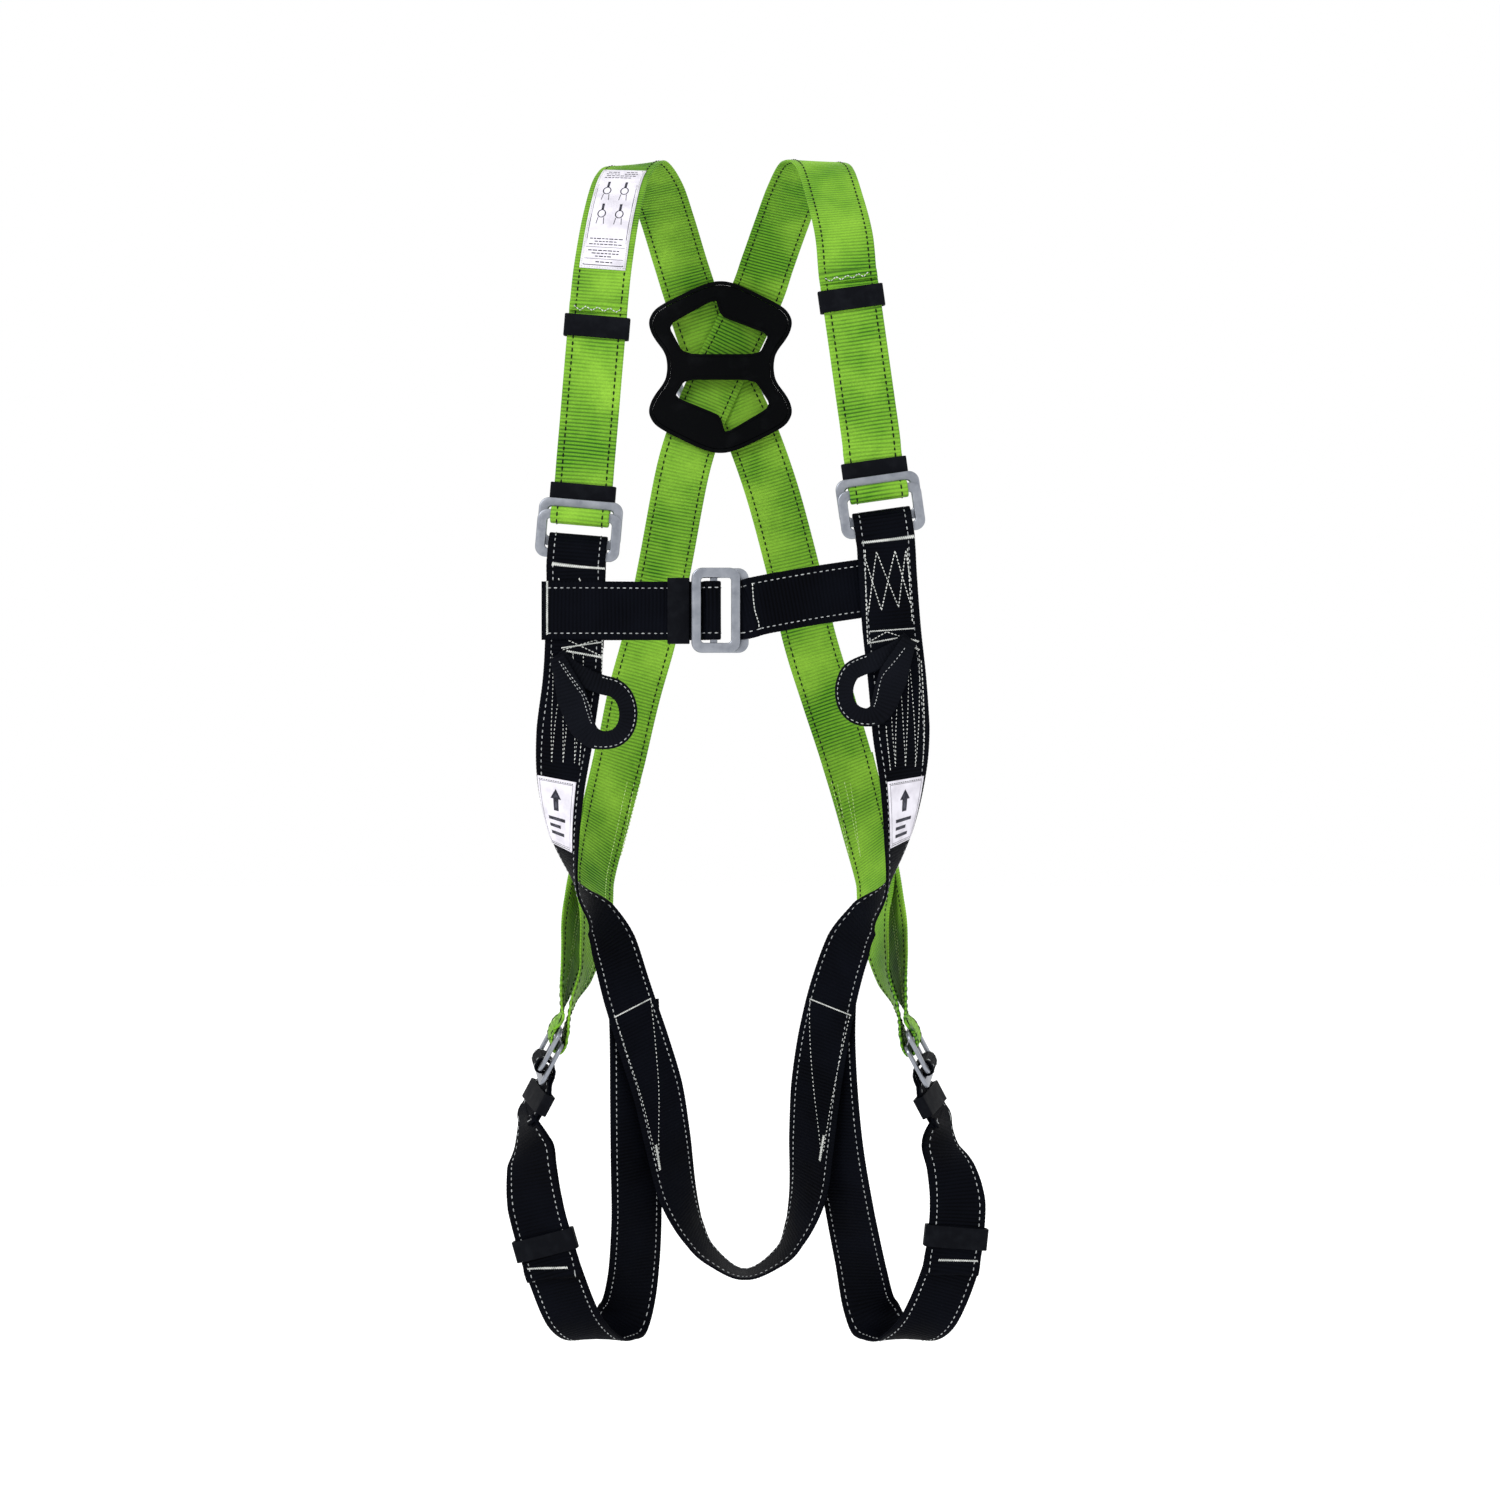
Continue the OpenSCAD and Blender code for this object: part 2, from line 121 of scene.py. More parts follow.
threading = [[46, -13.9], [32, -13.9], [24, -13.8], [16.5, -12.6], [11.5, -9.2], [9.4, -5], [9, -1],
    [10.2, 2.6], [13, 3.8], [16, 3.8], [19, 2.7], [19.9, 0], [19.3, -3], [18.3, -6], [18, -8.6],
    [19.2, -10.6], [22, -11.3], [25, -11.3], [32, -11.3], [46, -11.3]]
fold = [[-24, 2.2], [-18, 3.2], [-11, 3.2], [-6, 1.6], [-1.6, -2], [0.2, -5.2], [-0.4, -8.4],
    [-3.5, -9.8], [-9, -9.5], [-17, -7]]
near_threading = [p for p in threading if p[0] < 26]
leg_threaded_in = [[33, -11.3], [43, -11.3], [53, -11.3], [60, -11.3]]
leg_threaded_out = [[60, -13.9], [53, -13.9], [43, -13.9], [33, -13.9]]
chest_turn = [[28, -13], [22, -13], [15, -13], [9, -11.6], [4.5, -8], [1, -6.3], [-1.6, -5.6], [-2.8, -3],
    [-1.4, -0.7], [1.5, -0.2], [5.5, -0.4], [8.2, -2], [9.4, -4.5], [9.6, -7], [11.2, -9.6], [15, -10.5],
    [22, -10.5], [28, -10.5]]
chest_fold = [[-18.5, -3.7], [-16.5, -5], [-16.3, -8], [-18.5, -9.4]]

left_front = [[-115.2, -99.4, -254, 180, 0], [-112.7, -99.4, -225, 180, 0],
    [-109.4, -99.4, -185, 180, 0], [-106, -99.4, -145, 180, 0], [-104.8, -99.4, -130, 180, 0]]
left_back = [[-102, -87, -98, 180, 0], [-97, -56, -54, 180, -3], [-90, -22, -18, 180, -6],
    [-79, 8, -3.4, 180, -6], [-66, 40, -14, 180, -3], [-57, 72, -35, 180, 0], [-48, 100, -62, 180, 0],
    [-40, 115.3, -86, 180, 0], [-26, 125, -128, 180, 0], [-13, 127, -153, 180, 0],
    [0, 124, -178, 180, 0], [15, 119, -212, 180, 0], [32, 114, -262, 180, 0],
    [50, 112, -330, 180, 0], [63, 111, -385, 178, 0], [79, 109, -437, 168, 0],
    [94, 102, -486, 157, 0], [107, 80, -537, 142, 0], [115, 46, -578, 124, 0],
    [114, 6, -618, 112, 0], [119, -22, -654, 102, 0], [128, -36, -679, 92, 0]]
right_front = [[105.4, -99.4, -235, 0, 0], [100.5, -99.4, -200, 0, 0],
    [94.9, -99.4, -160, 0, 0], [88.7, -99.4, -116, 0, 0], [87.3, -99.4, -106, 0, 0]]
right_back = [[85, -86, -76, 0, 0], [79, -56, -42, 0, -1], [71, -20, -9.6, 0, -3], [60, 16, -1.4, 0, -3],
    [49, 44, -15, 0, -1], [38, 76, -39, 0, 0], [27, 102.6, -66, 0, 0], [18, 114.7, -90, 0, 0],
    [0, 121, -128, 0, 0], [-13, 122.8, -153, 0, 0], [-25, 121, -180, 0, 0],
    [-35, 116.5, -206, 0, 0], [-46, 113, -245, 0, 0], [-60, 112, -320, 0, 0],
    [-72, 111, -378, 2, 0], [-86, 108, -430, 12, 0], [-97, 101, -482, 24, 0],
    [-108, 80, -532, 38, 0], [-116, 47, -577, 55, 0], [-115, 6, -616, 68, 0],
    [-120, -22, -652, 78, 0], [-129, -36, -677, 88, 0]]
left_return = [[-136, -34, -668, 84, 0], [-132, -14, -642, 74, 0], [-128, 14, -611, 66, 0],
    [-119.5, 49.5, -574, 55, 0], [-110, 82.6, -531, 38, 0], [-98.4, 104.2, -483, 24, 0]]
right_return = [[134, -34, -670, 96, 0], [131, -14, -644, 106, 0], [127, 14, -613, 113, 0],
    [118.6, 48.6, -575, 124, 0], [109, 82.6, -536, 142, 0], [95.4, 105.2, -487, 157, 0]]
left_down = [[-122, -113.3, -352, 0, 0], [-123, -113.3, -392, 0, 0], [-125, -113.3, -425, 0, 0],
    [-130, -112, -462, -6, 0], [-134, -104, -505, -34, 0], [-132, -92, -548, -60, 0],
    [-123, -80, -585, -90, 0], [-106, -68, -609, -124, 0], [-95, -62, -632, -140, 0],
    [-84.5, -57, -669, -146, 0], [-72.5, -50, -708, -150, 0], [-61, -39, -748, -148, 0],
    [-53.5, -26, -789, -140, 0], [-46, -12, -831, -129, 0], [-33, -1, -866, -112, 0],
    [-18, 4, -887, -103, 0]]
seat_bottom = [[8, 8, -902, -90, 0]]
right_up = [[35, 4, -887, -77, 0], [48, -1, -866, -68, 0], [58, -12, -831, -51, 0],
    [61, -26, -789, -40, 0], [64, -39, -748, -32, 0], [69.5, -50, -708, -30, 0],
    [77.5, -57, -669, -34, 0], [89, -62, -632, -40, 0], [102, -68, -609, -56, 0],
    [119, -80, -585, -90, 0], [127, -92, -546, -118, 0], [130, -104, -500, -143, 0],
    [128, -112, -460, -173, 0], [125, -113.3, -422, -180, 0], [121, -113.3, -385, -180, 0],
    [118, -113.3, -345, -180, 0]]
left_inner_end = [[-121.5, -110.3, -341, 0, 0], [-122, -110.6, -355, 0, 0], [-123, -110.6, -398, 0, 0]]
right_inner_end = [[117, -110.3, -323, -180, 0], [118, -110.6, -345, -180, 0], [121, -110.6, -385, -180, 0]]
left_leg_inner = [[-80, -49, -676, -150, 0], [-79, -47, -706, -150, 0], [-79, -40, -752, -150, 0],
    [-79, -30, -800, -150, 0], [-79, -15, -850, -150, 0], [-82, 2, -897, -154, 0],
    [-88, 9, -930, -164, 0], [-97, 0, -944, -174, 0], [-111, -24, -947, 178, 0],
    [-127, -46, -929, 176, 0]]
left_leg_outer = [[-141, -60, -892, 174, 0], [-149.5, -62, -864, 171, 0], [-157, -61.5, -835, 168, 0],
    [-160.3, -55, -808, 150, 0], [-161.5, -44.5, -790, 130, 0]]
right_leg_inner = [[76, -49, -676, -30, 0], [75.5, -47, -706, -30, 0], [78, -40, -750, -30, 0],
    [83, -30, -796, -30, 0], [92, -15, -847, -30, 0], [101.5, 2, -894, -26, 0],
    [109, 9, -928, -16, 0], [119, 0, -943, -6, 0], [135, -24, -947, 2, 0],
    [153, -46, -929, 4, 0]]
right_leg_outer = [[169, -60, -889, 6, 0], [173.5, -62, -862, 9, 0], [175.3, -61.5, -833, 12, 0],
    [171, -55, -808, 31, 0], [164, -44.5, -790, 50, 0]]
chest_live = [[-141, -108.2, -370, 90, 90], [-120, -108.2, -370, 90, 90], [-100, -108.4, -370, 90, 90],
    [-75, -110, -370, 90, 90]]
chest_tail = [[-75, -112.6, -370, 90, 90], [-100, -115.6, -370, 90, 90], [-120, -115.8, -370, 90, 90],
    [-148, -115.8, -370, 90, 90]]
chest_side = [[139, -108.2, -348, 90, 90], [116, -107.9, -350, 90, 90], [95, -107.8, -353, 90, 90],
    [60, -112, -358.5, 90, 90], [20, -117.8, -366, 90, 90], [12, -119.3, -368.3, 90, 90]]
chest_end = [[12, -113.7, -368.3, 90, 90], [20, -115.2, -366, 90, 90], [38, -113.2, -362, 90, 90]]


def hemmed(route, side, turn_in=8.5, rise=2.2):
    """A free end turned under on the side given: the strap above rises to make room for it."""
    (start, w), (after, _) = route[0], route[1]
    along = unit(after - start)
    n = side * np.cross(along, w)
    under = [(start + d * along, w) for d in (turn_in, 4.5, 1.6)]
    turn = [(start + 0.25 * along + 0.5 * rise * n, w)]
    over = [(start + d * along + h * rise * n, w)
        for d, h in ((1.6, 1), (5, 1), (turn_in, 0.72), (turn_in + 4, 0.12))]
    rest = [p for p in route[1:] if not 0 <= np.dot(p[0] - start, along) <= turn_in + 9]
    return under + turn + over + [(start + (turn_in + 8) * along, w)] + rest


left_shoulder_route = (
    hemmed(all_free(backwards(left_front), 1.3), 1) + backwards(all_at(left_shoulder, threading, -1))
    + all_free(left_front, -1.3) + all_free(left_back) + backwards(all_at(right_leg, fold, -1))
    + all_free(right_return))
right_shoulder_route = (
    hemmed(all_free(backwards(right_front), -1.3), -1) + backwards(all_at(right_shoulder, threading, 1))
    + all_free(right_front, 1.3) + all_free(right_back) + backwards(all_at(left_leg, fold, 1))
    + all_free(left_return))
seat_route = (
    backwards(all_free(left_inner_end)) + backwards(all_at(left_shoulder, fold, 1)) + all_free(left_down)
    + all_free(seat_bottom) + all_free(right_up) + all_at(right_shoulder, fold, -1)
    + all_free(right_inner_end))


def leg_threading(buckle, low, side):
    return (all_at(low, leg_threaded_out, side) + all_at(buckle, near_threading, side)
        + all_at(low, leg_threaded_in, side))


left_leg_route = (
    all_free(left_leg_inner) + all_free(left_leg_outer, -1.3) + leg_threading(left_leg, left_leg_low, 1)
    + backwards(hemmed(all_free(left_leg_outer, 1.3), 1)))
right_leg_route = (
    all_free(right_leg_inner) + all_free(right_leg_outer, 1.3) + leg_threading(right_leg, right_leg_low, -1)
    + backwards(hemmed(all_free(right_leg_outer, -1.3), -1)))
chest_adjusting_route = all_free(chest_live) + all_at(chest, chest_turn, 1) + all_free(chest_tail)
chest_fixed_route = all_free(chest_side) + all_at(chest, chest_fold, 1) + all_free(chest_end)


class Strap:
    """A flat strap along a route. A place on it is s along, u across and h above its middle."""

    def __init__(self, route, width=WEB_W, thick=WEB_T, broad=None):
        self.width, self.thick = width, thick
        centres, hints = (np.array([p[k] for p in route], float) for k in (0, 1))
        n, steps = len(route) - 1, 24
        fine, hint = [], []
        for i in range(n):
            a, b, c, d = (centres[min(max(j, 0), n)] for j in (i - 1, i, i + 1, i + 2))
            for t in np.arange(steps) / steps:
                fine.append(0.5 * (2 * b + (c - a) * t + (2 * a - 5 * b + 4 * c - d) * t * t
                    + (3 * b - a - 3 * c + d) * t ** 3))
                hint.append((1 - t) * hints[i] + t * hints[i + 1])
        fine, hint = np.array(fine + [centres[-1]]), np.array(hint + [hints[-1]])
        run = np.concatenate([[0], np.cumsum(np.linalg.norm(np.diff(fine, axis=0), axis=1))])
        self.length, self.marks = run[-1], run[::steps]
        self.s = np.linspace(0, self.length, 4 * round(self.length / RIB) + 1)
        self.c, w = (np.stack([np.interp(self.s, run, v[:, k]) for k in range(3)], -1) for v in (fine, hint))
        self.t = np.gradient(self.c, axis=0)
        self.t /= np.linalg.norm(self.t, axis=1, keepdims=True)
        w -= (w * self.t).sum(1, keepdims=True) * self.t
        self.w = w / np.linalg.norm(w, axis=1, keepdims=True)
        self.n = np.cross(self.t, self.w)
        self.broad = np.ones(len(self.s)) if broad is None else np.interp(self.s / self.length, *zip(*broad))

    def place(self, s, u, h):
        s, u, h = np.broadcast_arrays(np.asarray(s, float), u, h)
        s = np.clip(s, 0, self.length)
        c, w, n = (np.stack([np.interp(s, self.s, v[:, k]) for k in range(3)], -1)
            for v in (self.c, self.w, self.n))
        u = u * np.interp(s, self.s, self.broad)
        return c + u[..., None] * w + h[..., None] * n

    def spot(self, x, y, z):
        """The place (s, u) seen at x, z from the front, on the layer whose depth is nearest y."""
        c, w = self.c[:, [0, 2]], self.w[:, [0, 2]]
        gap = np.array([x, z]) - c
        u = np.clip((gap * w).sum(1) / np.maximum((w * w).sum(1), 1e-6), -self.width / 2, self.width / 2)
        miss = np.linalg.norm(gap - u[:, None] * w, axis=1) + 0.5 * abs(self.c[:, 1] + u * self.w[:, 1] - y)
        best = miss.argmin()
        return self.s[best], u[best]

    def facing(self, s):
        """1 or -1, for the face that looks to the front at s."""
        return 1 if np.interp(s, self.s, self.n[:, 1]) < 0 else -1


# ---------- Meshes ----------


def piece(name, verts, faces, material, body="webbing", nodes=(), uv=None, smooth=True):
    """A mesh object in metres from points in millimetres, riding on a body and standing for CAD nodes."""
    mesh = bpy.data.meshes.new(name)
    mesh.from_pydata((np.asarray(verts, float).reshape(-1, 3) * MM).tolist(), [], [tuple(f) for f in faces])
    if uv is not None:
        layer = mesh.uv_layers.new(name="weave")
        index = np.empty(len(mesh.loops), np.int32)
        mesh.loops.foreach_get("vertex_index", index)
        layer.data.foreach_set("uv", np.asarray(uv, np.float32).reshape(-1, 2)[index].ravel())
    bm = bmesh.new()
    bm.from_mesh(mesh)
    bmesh.ops.recalc_face_normals(bm, faces=bm.faces)
    bm.to_mesh(mesh)
    bm.free()
    mesh.polygons.foreach_set("use_smooth", [smooth] * len(mesh.polygons))
    mesh.materials.append(material)
    obj = bpy.data.objects.new(name, mesh)
    bpy.context.scene.collection.objects.link(obj)
    if body:
        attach(obj, body)
    if nodes:
        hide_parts(*nodes)
    return obj


def grid_faces(rows, cols, wrap_cols=True, wrap_rows=False, base=0):
    """Quads over a rows by cols grid of points."""
    r = np.arange(rows if wrap_rows else rows - 1)
    c = np.arange(cols if wrap_cols else cols - 1)
    r, c = np.meshgrid(r, c, indexing="ij")
    a, b = r * cols + c, r * cols + (c + 1) % cols
    d, e = ((r + 1) % rows) * cols + c, ((r + 1) % rows) * cols + (c + 1) % cols
    return (np.stack([a, b, e, d], -1).reshape(-1, 4) + base).tolist()


# Distance from the selvedge, height as a share of half the thickness, and share of the ribs' height
EDGE = [(0, 0, 0.1), (0.3, 0.72, 0.25), (1.3, 1, 0.45), (3, 1, 0.5), (3.8, 0.88, 0.6), (5, 1, 1), (13, 1, 1)]


def section(width, thick):
    """Points round a strap's cross section, as across, above and the share of the ribs' height."""
    side = [(width / 2 - e, h * thick / 2, r) for e, h, r in EDGE if e < 0.45 * width]
    top = side + [(0, thick / 2, 1)] + [(-u, h, r) for u, h, r in side[::-1]]
    return np.array(top + [(u, -h, r) for u, h, r in top[-2:0:-1]])


def webbing_mesh(strap):
    """Points, faces and weave coordinates of ribbed webbing with a firm selvedge."""
    s = strap.s
    u, h, share = section(strap.width, strap.thick).T
    phase = np.arange(len(s)) / 4
    rib = np.abs(np.cos(math.pi * phase)) ** 0.8
    uneven = 1 + 0.16 * np.sin(0.61 * phase + 2 * np.sin(0.173 * phase))
    high = RIB_HIGH * (rib * uneven - 0.6)
    bow = 0.5 * np.sin(0.021 * s[:, None] + 1.3) * np.cos(math.pi * u / strap.width)[None] \
        + 0.22 * np.sin(0.09 * s)[:, None] * np.sin(5.1 * u / strap.width)[None]
    uu = u[None] + 0.12 * np.sign(u) * (rib[:, None] - 0.5) * (np.abs(u) > 0.45 * strap.width)
    hh = h[None] + np.sign(h) * high[:, None] * share[None]
    inside = np.minimum(1, np.minimum(s - s[0], s[-1] - s) / 6)[:, None]
    points = strap.place(s[:, None] + bow * inside, uu, hh)
    faces = grid_faces(len(s), len(u))
    faces += [list(range(len(u)))[::-1], list(range((len(s) - 1) * len(u), len(s) * len(u)))]
    uv = np.stack(np.broadcast_arrays(u[None] * MM, s[:, None] * MM), -1)
    return points.reshape(-1, 3), faces, uv.reshape(-1, 2)


def joined(parts):
    """Several meshes of (points, faces, uv) as one."""
    points, faces, uvs, base = [], [], [], 0
    for p, f, uv in parts:
        p = np.asarray(p).reshape(-1, 3)
        points.append(p)
        faces += [[i + base for i in face] for face in f]
        uvs.append(np.asarray(uv).reshape(-1, 2))
        base += len(p)
    return np.concatenate(points), faces, np.concatenate(uvs)


def sew(strap, path, dash, pitch, side=1, r=0.42, lift=0.0):
    """Threads along a path of (s, u) on one face of a strap, each bedded at its ends."""
    path = np.array(path, float)
    run = np.concatenate([[0], np.cumsum(np.linalg.norm(np.diff(path, axis=0), axis=1))])
    starts = np.arange(max(1, int((run[-1] - dash) / pitch + 1.001))) * pitch
    f = np.array([0, 0.16, 0.5, 0.84, 1])
    d = starts[:, None] + dash * f[None]
    s, u = (np.interp(d, run, path[:, k]) for k in (0, 1))
    high = strap.thick / 2 + np.array([-0.25, 0.12, 0.26, 0.12, -0.25]) + lift
    centre = strap.place(s, u, side * high[None])
    along = centre[:, -1:] - centre[:, :1]
    along /= np.maximum(np.linalg.norm(along, axis=-1, keepdims=True), 1e-6)
    up = strap.place(s, u, side * (high[None] + 1)) - centre
    sideways = np.cross(along, up)
    sideways /= np.linalg.norm(sideways, axis=-1, keepdims=True)
    a = np.arange(6) * math.pi / 3
    radius = r * np.array([0.45, 0.9, 1, 0.9, 0.45])[None, :, None, None]
    rings = centre[:, :, None] + radius * (sideways[:, :, None] * np.cos(a)[None, None, :, None]
        + 0.85 * up[:, :, None] * np.sin(a)[None, None, :, None])
    one = grid_faces(5, 6) + [[5, 4, 3, 2, 1, 0], [24, 25, 26, 27, 28, 29]]
    faces = [[i + 30 * k for i in face] for k in range(len(starts)) for face in one]
    uv = np.broadcast_to(np.stack(np.broadcast_arrays(a[None, :] * MM, (dash * f)[:, None] * MM), -1)[None],
        (len(starts), 5, 6, 2))
    return rings.reshape(-1, 3), faces, uv.reshape(-1, 2)


def tracers(strap, dash, pitch, r):
    """The rows of tracer thread that run beside both selvedges, on both faces."""
    return [sew(strap, [(2, k * TRACER_U), (strap.length - 1, k * TRACER_U)], dash, pitch, side, r)
        for side in (1, -1) for k in (1, -1)]


def zigzag(a, b, amp, legs):
    """A zigzag from place a to place b."""
    a, b = np.array(a, float), np.array(b, float)
    d = unit(b - a)
    across = np.array([-d[1], d[0]])
    return [a + (b - a) * i / legs + (amp if i % 2 else -amp) * across for i in range(legs + 1)]


def tack(strap, a, b, side, width):
    """A dense bar tack: close slanting threads from place a to place b."""
    legs = max(4, round(np.hypot(b[0] - a[0], b[1] - a[1]) / 0.75))
    path = zigzag(a, b, width, legs)
    leg = float(np.linalg.norm(path[1] - path[0]))
    return sew(strap, path, leg, leg, side, 0.38, 0.1)


def patch(strap, s0, s1, u0, u1, lift, thick):
    """A thin closed slab that follows the strap's face, with softened edges."""
    ds, du = 1.2, 2.4
    ns, nu = max(3, math.ceil((s1 - s0) / ds) + 1), max(3, math.ceil((u1 - u0) / du) + 1)
    s, u = np.meshgrid(np.linspace(s0, s1, ns), np.linspace(u0, u1, nu), indexing="ij")
    rim = np.zeros((ns, nu), bool)
    rim[[0, -1], :] = rim[:, [0, -1]] = True
    half = math.copysign(thick / 2, lift)
    top = strap.place(s, u, lift + half * np.where(rim, 0.35, 1))
    low = strap.place(s, u, np.full(s.shape, lift - half))
    faces = grid_faces(ns, nu, False) + [f[::-1] for f in grid_faces(ns, nu, False, base=ns * nu)]
    edge = [i * nu for i in range(ns)] + [(ns - 1) * nu + j for j in range(1, nu)] \
        + [i * nu + nu - 1 for i in range(ns - 2, -1, -1)] + [j for j in range(nu - 2, 0, -1)]
    for k, i in enumerate(edge):
        j = edge[(k + 1) % len(edge)]
        faces.append([i, j, j + ns * nu, i + ns * nu])
    uv = np.stack([u * MM, s * MM], -1).reshape(-1, 2)
    return np.concatenate([top.reshape(-1, 3), low.reshape(-1, 3)]), faces, np.concatenate([uv, uv])


def printed(strap, outline, lift, thick=0.12):
    """A printed mark: a very thin slab with a convex outline of places (s, u)."""
    outline = np.array(outline, float)
    after = np.roll(outline, -1, 0)
    outline = np.concatenate([a + (b - a) * np.linspace(0, 1, 6)[:-1, None] for a, b in zip(outline, after)])
    middle, k = outline.mean(0), len(outline)
    rings = [np.concatenate([middle + (outline - middle) * f for f in (0.5, 1)]) for _ in (0, 1)]
    points = [strap.place(r[:, 0], r[:, 1], np.full(2 * k, lift + math.copysign(h, lift)))
        for r, h in zip(rings, (thick / 2, -thick / 2))]
    faces = []
    for base in (0, 2 * k):
        faces += grid_faces(2, k, base=base) + [[base + i for i in range(k)]]
    faces += [[k + i, k + (i + 1) % k, 3 * k + (i + 1) % k, 3 * k + i] for i in range(k)]
    uv = np.concatenate([rings[0], rings[1]])[:, ::-1] * MM
    return np.concatenate(points), faces, uv


def rounded_loop(w, h, r, corner=8, side=6, crown=0.0):
    """Points round a rectangle with round corners. Its long sides may be crowned."""
    points = []
    for k, (sx, sy) in enumerate(((1, 1), (-1, 1), (-1, -1), (1, -1))):
        for i in range(corner + 1):
            a = math.pi / 2 * (k + i / corner)
            points.append((sx * (w / 2 - r) + r * math.cos(a), sy * (h / 2 - r) + r * math.sin(a)))
        nx, ny = ((-1, 1), (-1, -1), (1, -1), (1, 1))[k]
        here = points[-1]
        a = math.pi / 2 * (k + 1)
        there = (nx * (w / 2 - r) + r * math.cos(a), ny * (h / 2 - r) + r * math.sin(a))
        points += [(here[0] + (there[0] - here[0]) * i / side, here[1] + (there[1] - here[1]) * i / side)
            for i in range(1, side)]
    points = np.array(points)
    points[:, 1] += crown * np.sign(points[:, 1]) * np.clip(1 - (2 * points[:, 0] / w) ** 2, 0, 1)
    return points


def band(inner, outer, depth, edge, steps=3):
    """A closed band between two loops, with rounded edges, in its own x, y and z."""
    wall = np.linalg.norm(outer - inner, axis=1).min()
    profile = []
    for sx, sy, k in ((1, 1, 0), (-1, 1, 1), (-1, -1, 2), (1, -1, 3)):
        for i in range(steps + 1):
            a = math.pi / 2 * (k + i / steps)
            profile.append(((sx * (wall / 2 - edge) + edge * math.cos(a)) / wall + 0.5,
                sy * (depth / 2 - edge) + edge * math.sin(a)))
    profile = np.array(profile)
    xy = inner[:, None] + (outer - inner)[:, None] * profile[None, :, :1]
    z = np.broadcast_to(profile[None, :, 1:], (len(inner), len(profile), 1))
    points = np.concatenate([xy, z], -1)
    return points, grid_faces(len(inner), len(profile), True, True)


def placed(points, buckle, v=0.0, n=0.0):
    """Points in a buckle's own u, v and n, in the row frame."""
    points = np.asarray(points, float).reshape(-1, 3) + np.array([0, v, n])
    return np.array(buckle[0]) + points @ np.array(axes(buckle))


def tube(path, normal, r, sides=18):
    """A closed round bar along a flat closed path."""
    path = np.array(path, float)
    t = np.roll(path, -1, 0) - np.roll(path, 1, 0)
    t /= np.linalg.norm(t, axis=1, keepdims=True)
    out = np.cross(t, normal)
    a = np.arange(sides) * 2 * math.pi / sides
    ring = path[:, None] + r * (out[:, None] * np.cos(a)[None, :, None]
        + np.asarray(normal) * np.sin(a)[None, :, None])
    return ring.reshape(-1, 3), grid_faces(len(path), sides, True, True)


# ---------- Materials ----------


class Nodes:
    """A material's node tree, with short calls for the nodes used here."""

    def __init__(self, name, **sockets):
        self.material = bpy.data.materials.new(name)
        self.material.use_nodes = True
        self.tree = self.material.node_tree
        self.shader = self.tree.nodes["Principled BSDF"]
        for socket, value in sockets.items():
            self.shader.inputs[socket.replace("_", " ")].default_value = value

    def add(self, kind, inputs=None, **settings):
        node = self.tree.nodes.new("ShaderNode" + kind)
        for key, value in settings.items():
            setattr(node, key, value)
        for key, value in (inputs or {}).items():
            self.put(node.inputs[key], value)
        return node

    def put(self, socket, value):
        if isinstance(value, bpy.types.NodeSocket):
            self.tree.links.new(value, socket)
        else:
            socket.default_value = value

    def math(self, operation, a, b=0.0):
        return self.add("Math", {0: a, 1: b}, operation=operation).outputs[0]

    def noise(self, scale, detail=3.0, vector=None):
        node = self.add("TexNoise", {"Scale": scale, "Detail": detail})
        self.tree.links.new(vector or self.where(), node.inputs["Vector"])
        return node.outputs["Fac"]

    def where(self):
        if not hasattr(self, "_where"):
            self._where = self.add("TexCoord").outputs["Object"]
        return self._where

    def mix(self, fac, a, b):
        node = self.add("Mix", data_type="RGBA")
        self.put(node.inputs["Factor"], fac)
        self.put(node.inputs[6], a)
        self.put(node.inputs[7], b)
        return node.outputs[2]

    def span(self, value, low, high, to_low, to_high):
        return self.add("MapRange", {0: value, 1: low, 2: high, 3: to_low, 4: to_high}).outputs[0]

    def bump(self, height, strength, distance, under=None):
        node = self.add("Bump", {"Height": height, "Strength": strength, "Distance": distance})
        if under is not None:
            self.tree.links.new(under, node.inputs["Normal"])
        return node.outputs[0]

    def finish(self, colour=None, roughness=None, normal=None):
        for socket, value in (("Base Color", colour), ("Roughness", roughness), ("Normal", normal)):
            if value is not None:
                self.put(self.shader.inputs[socket], value)
        return self.material


def grey(v):
    return (v, v, v, 1)


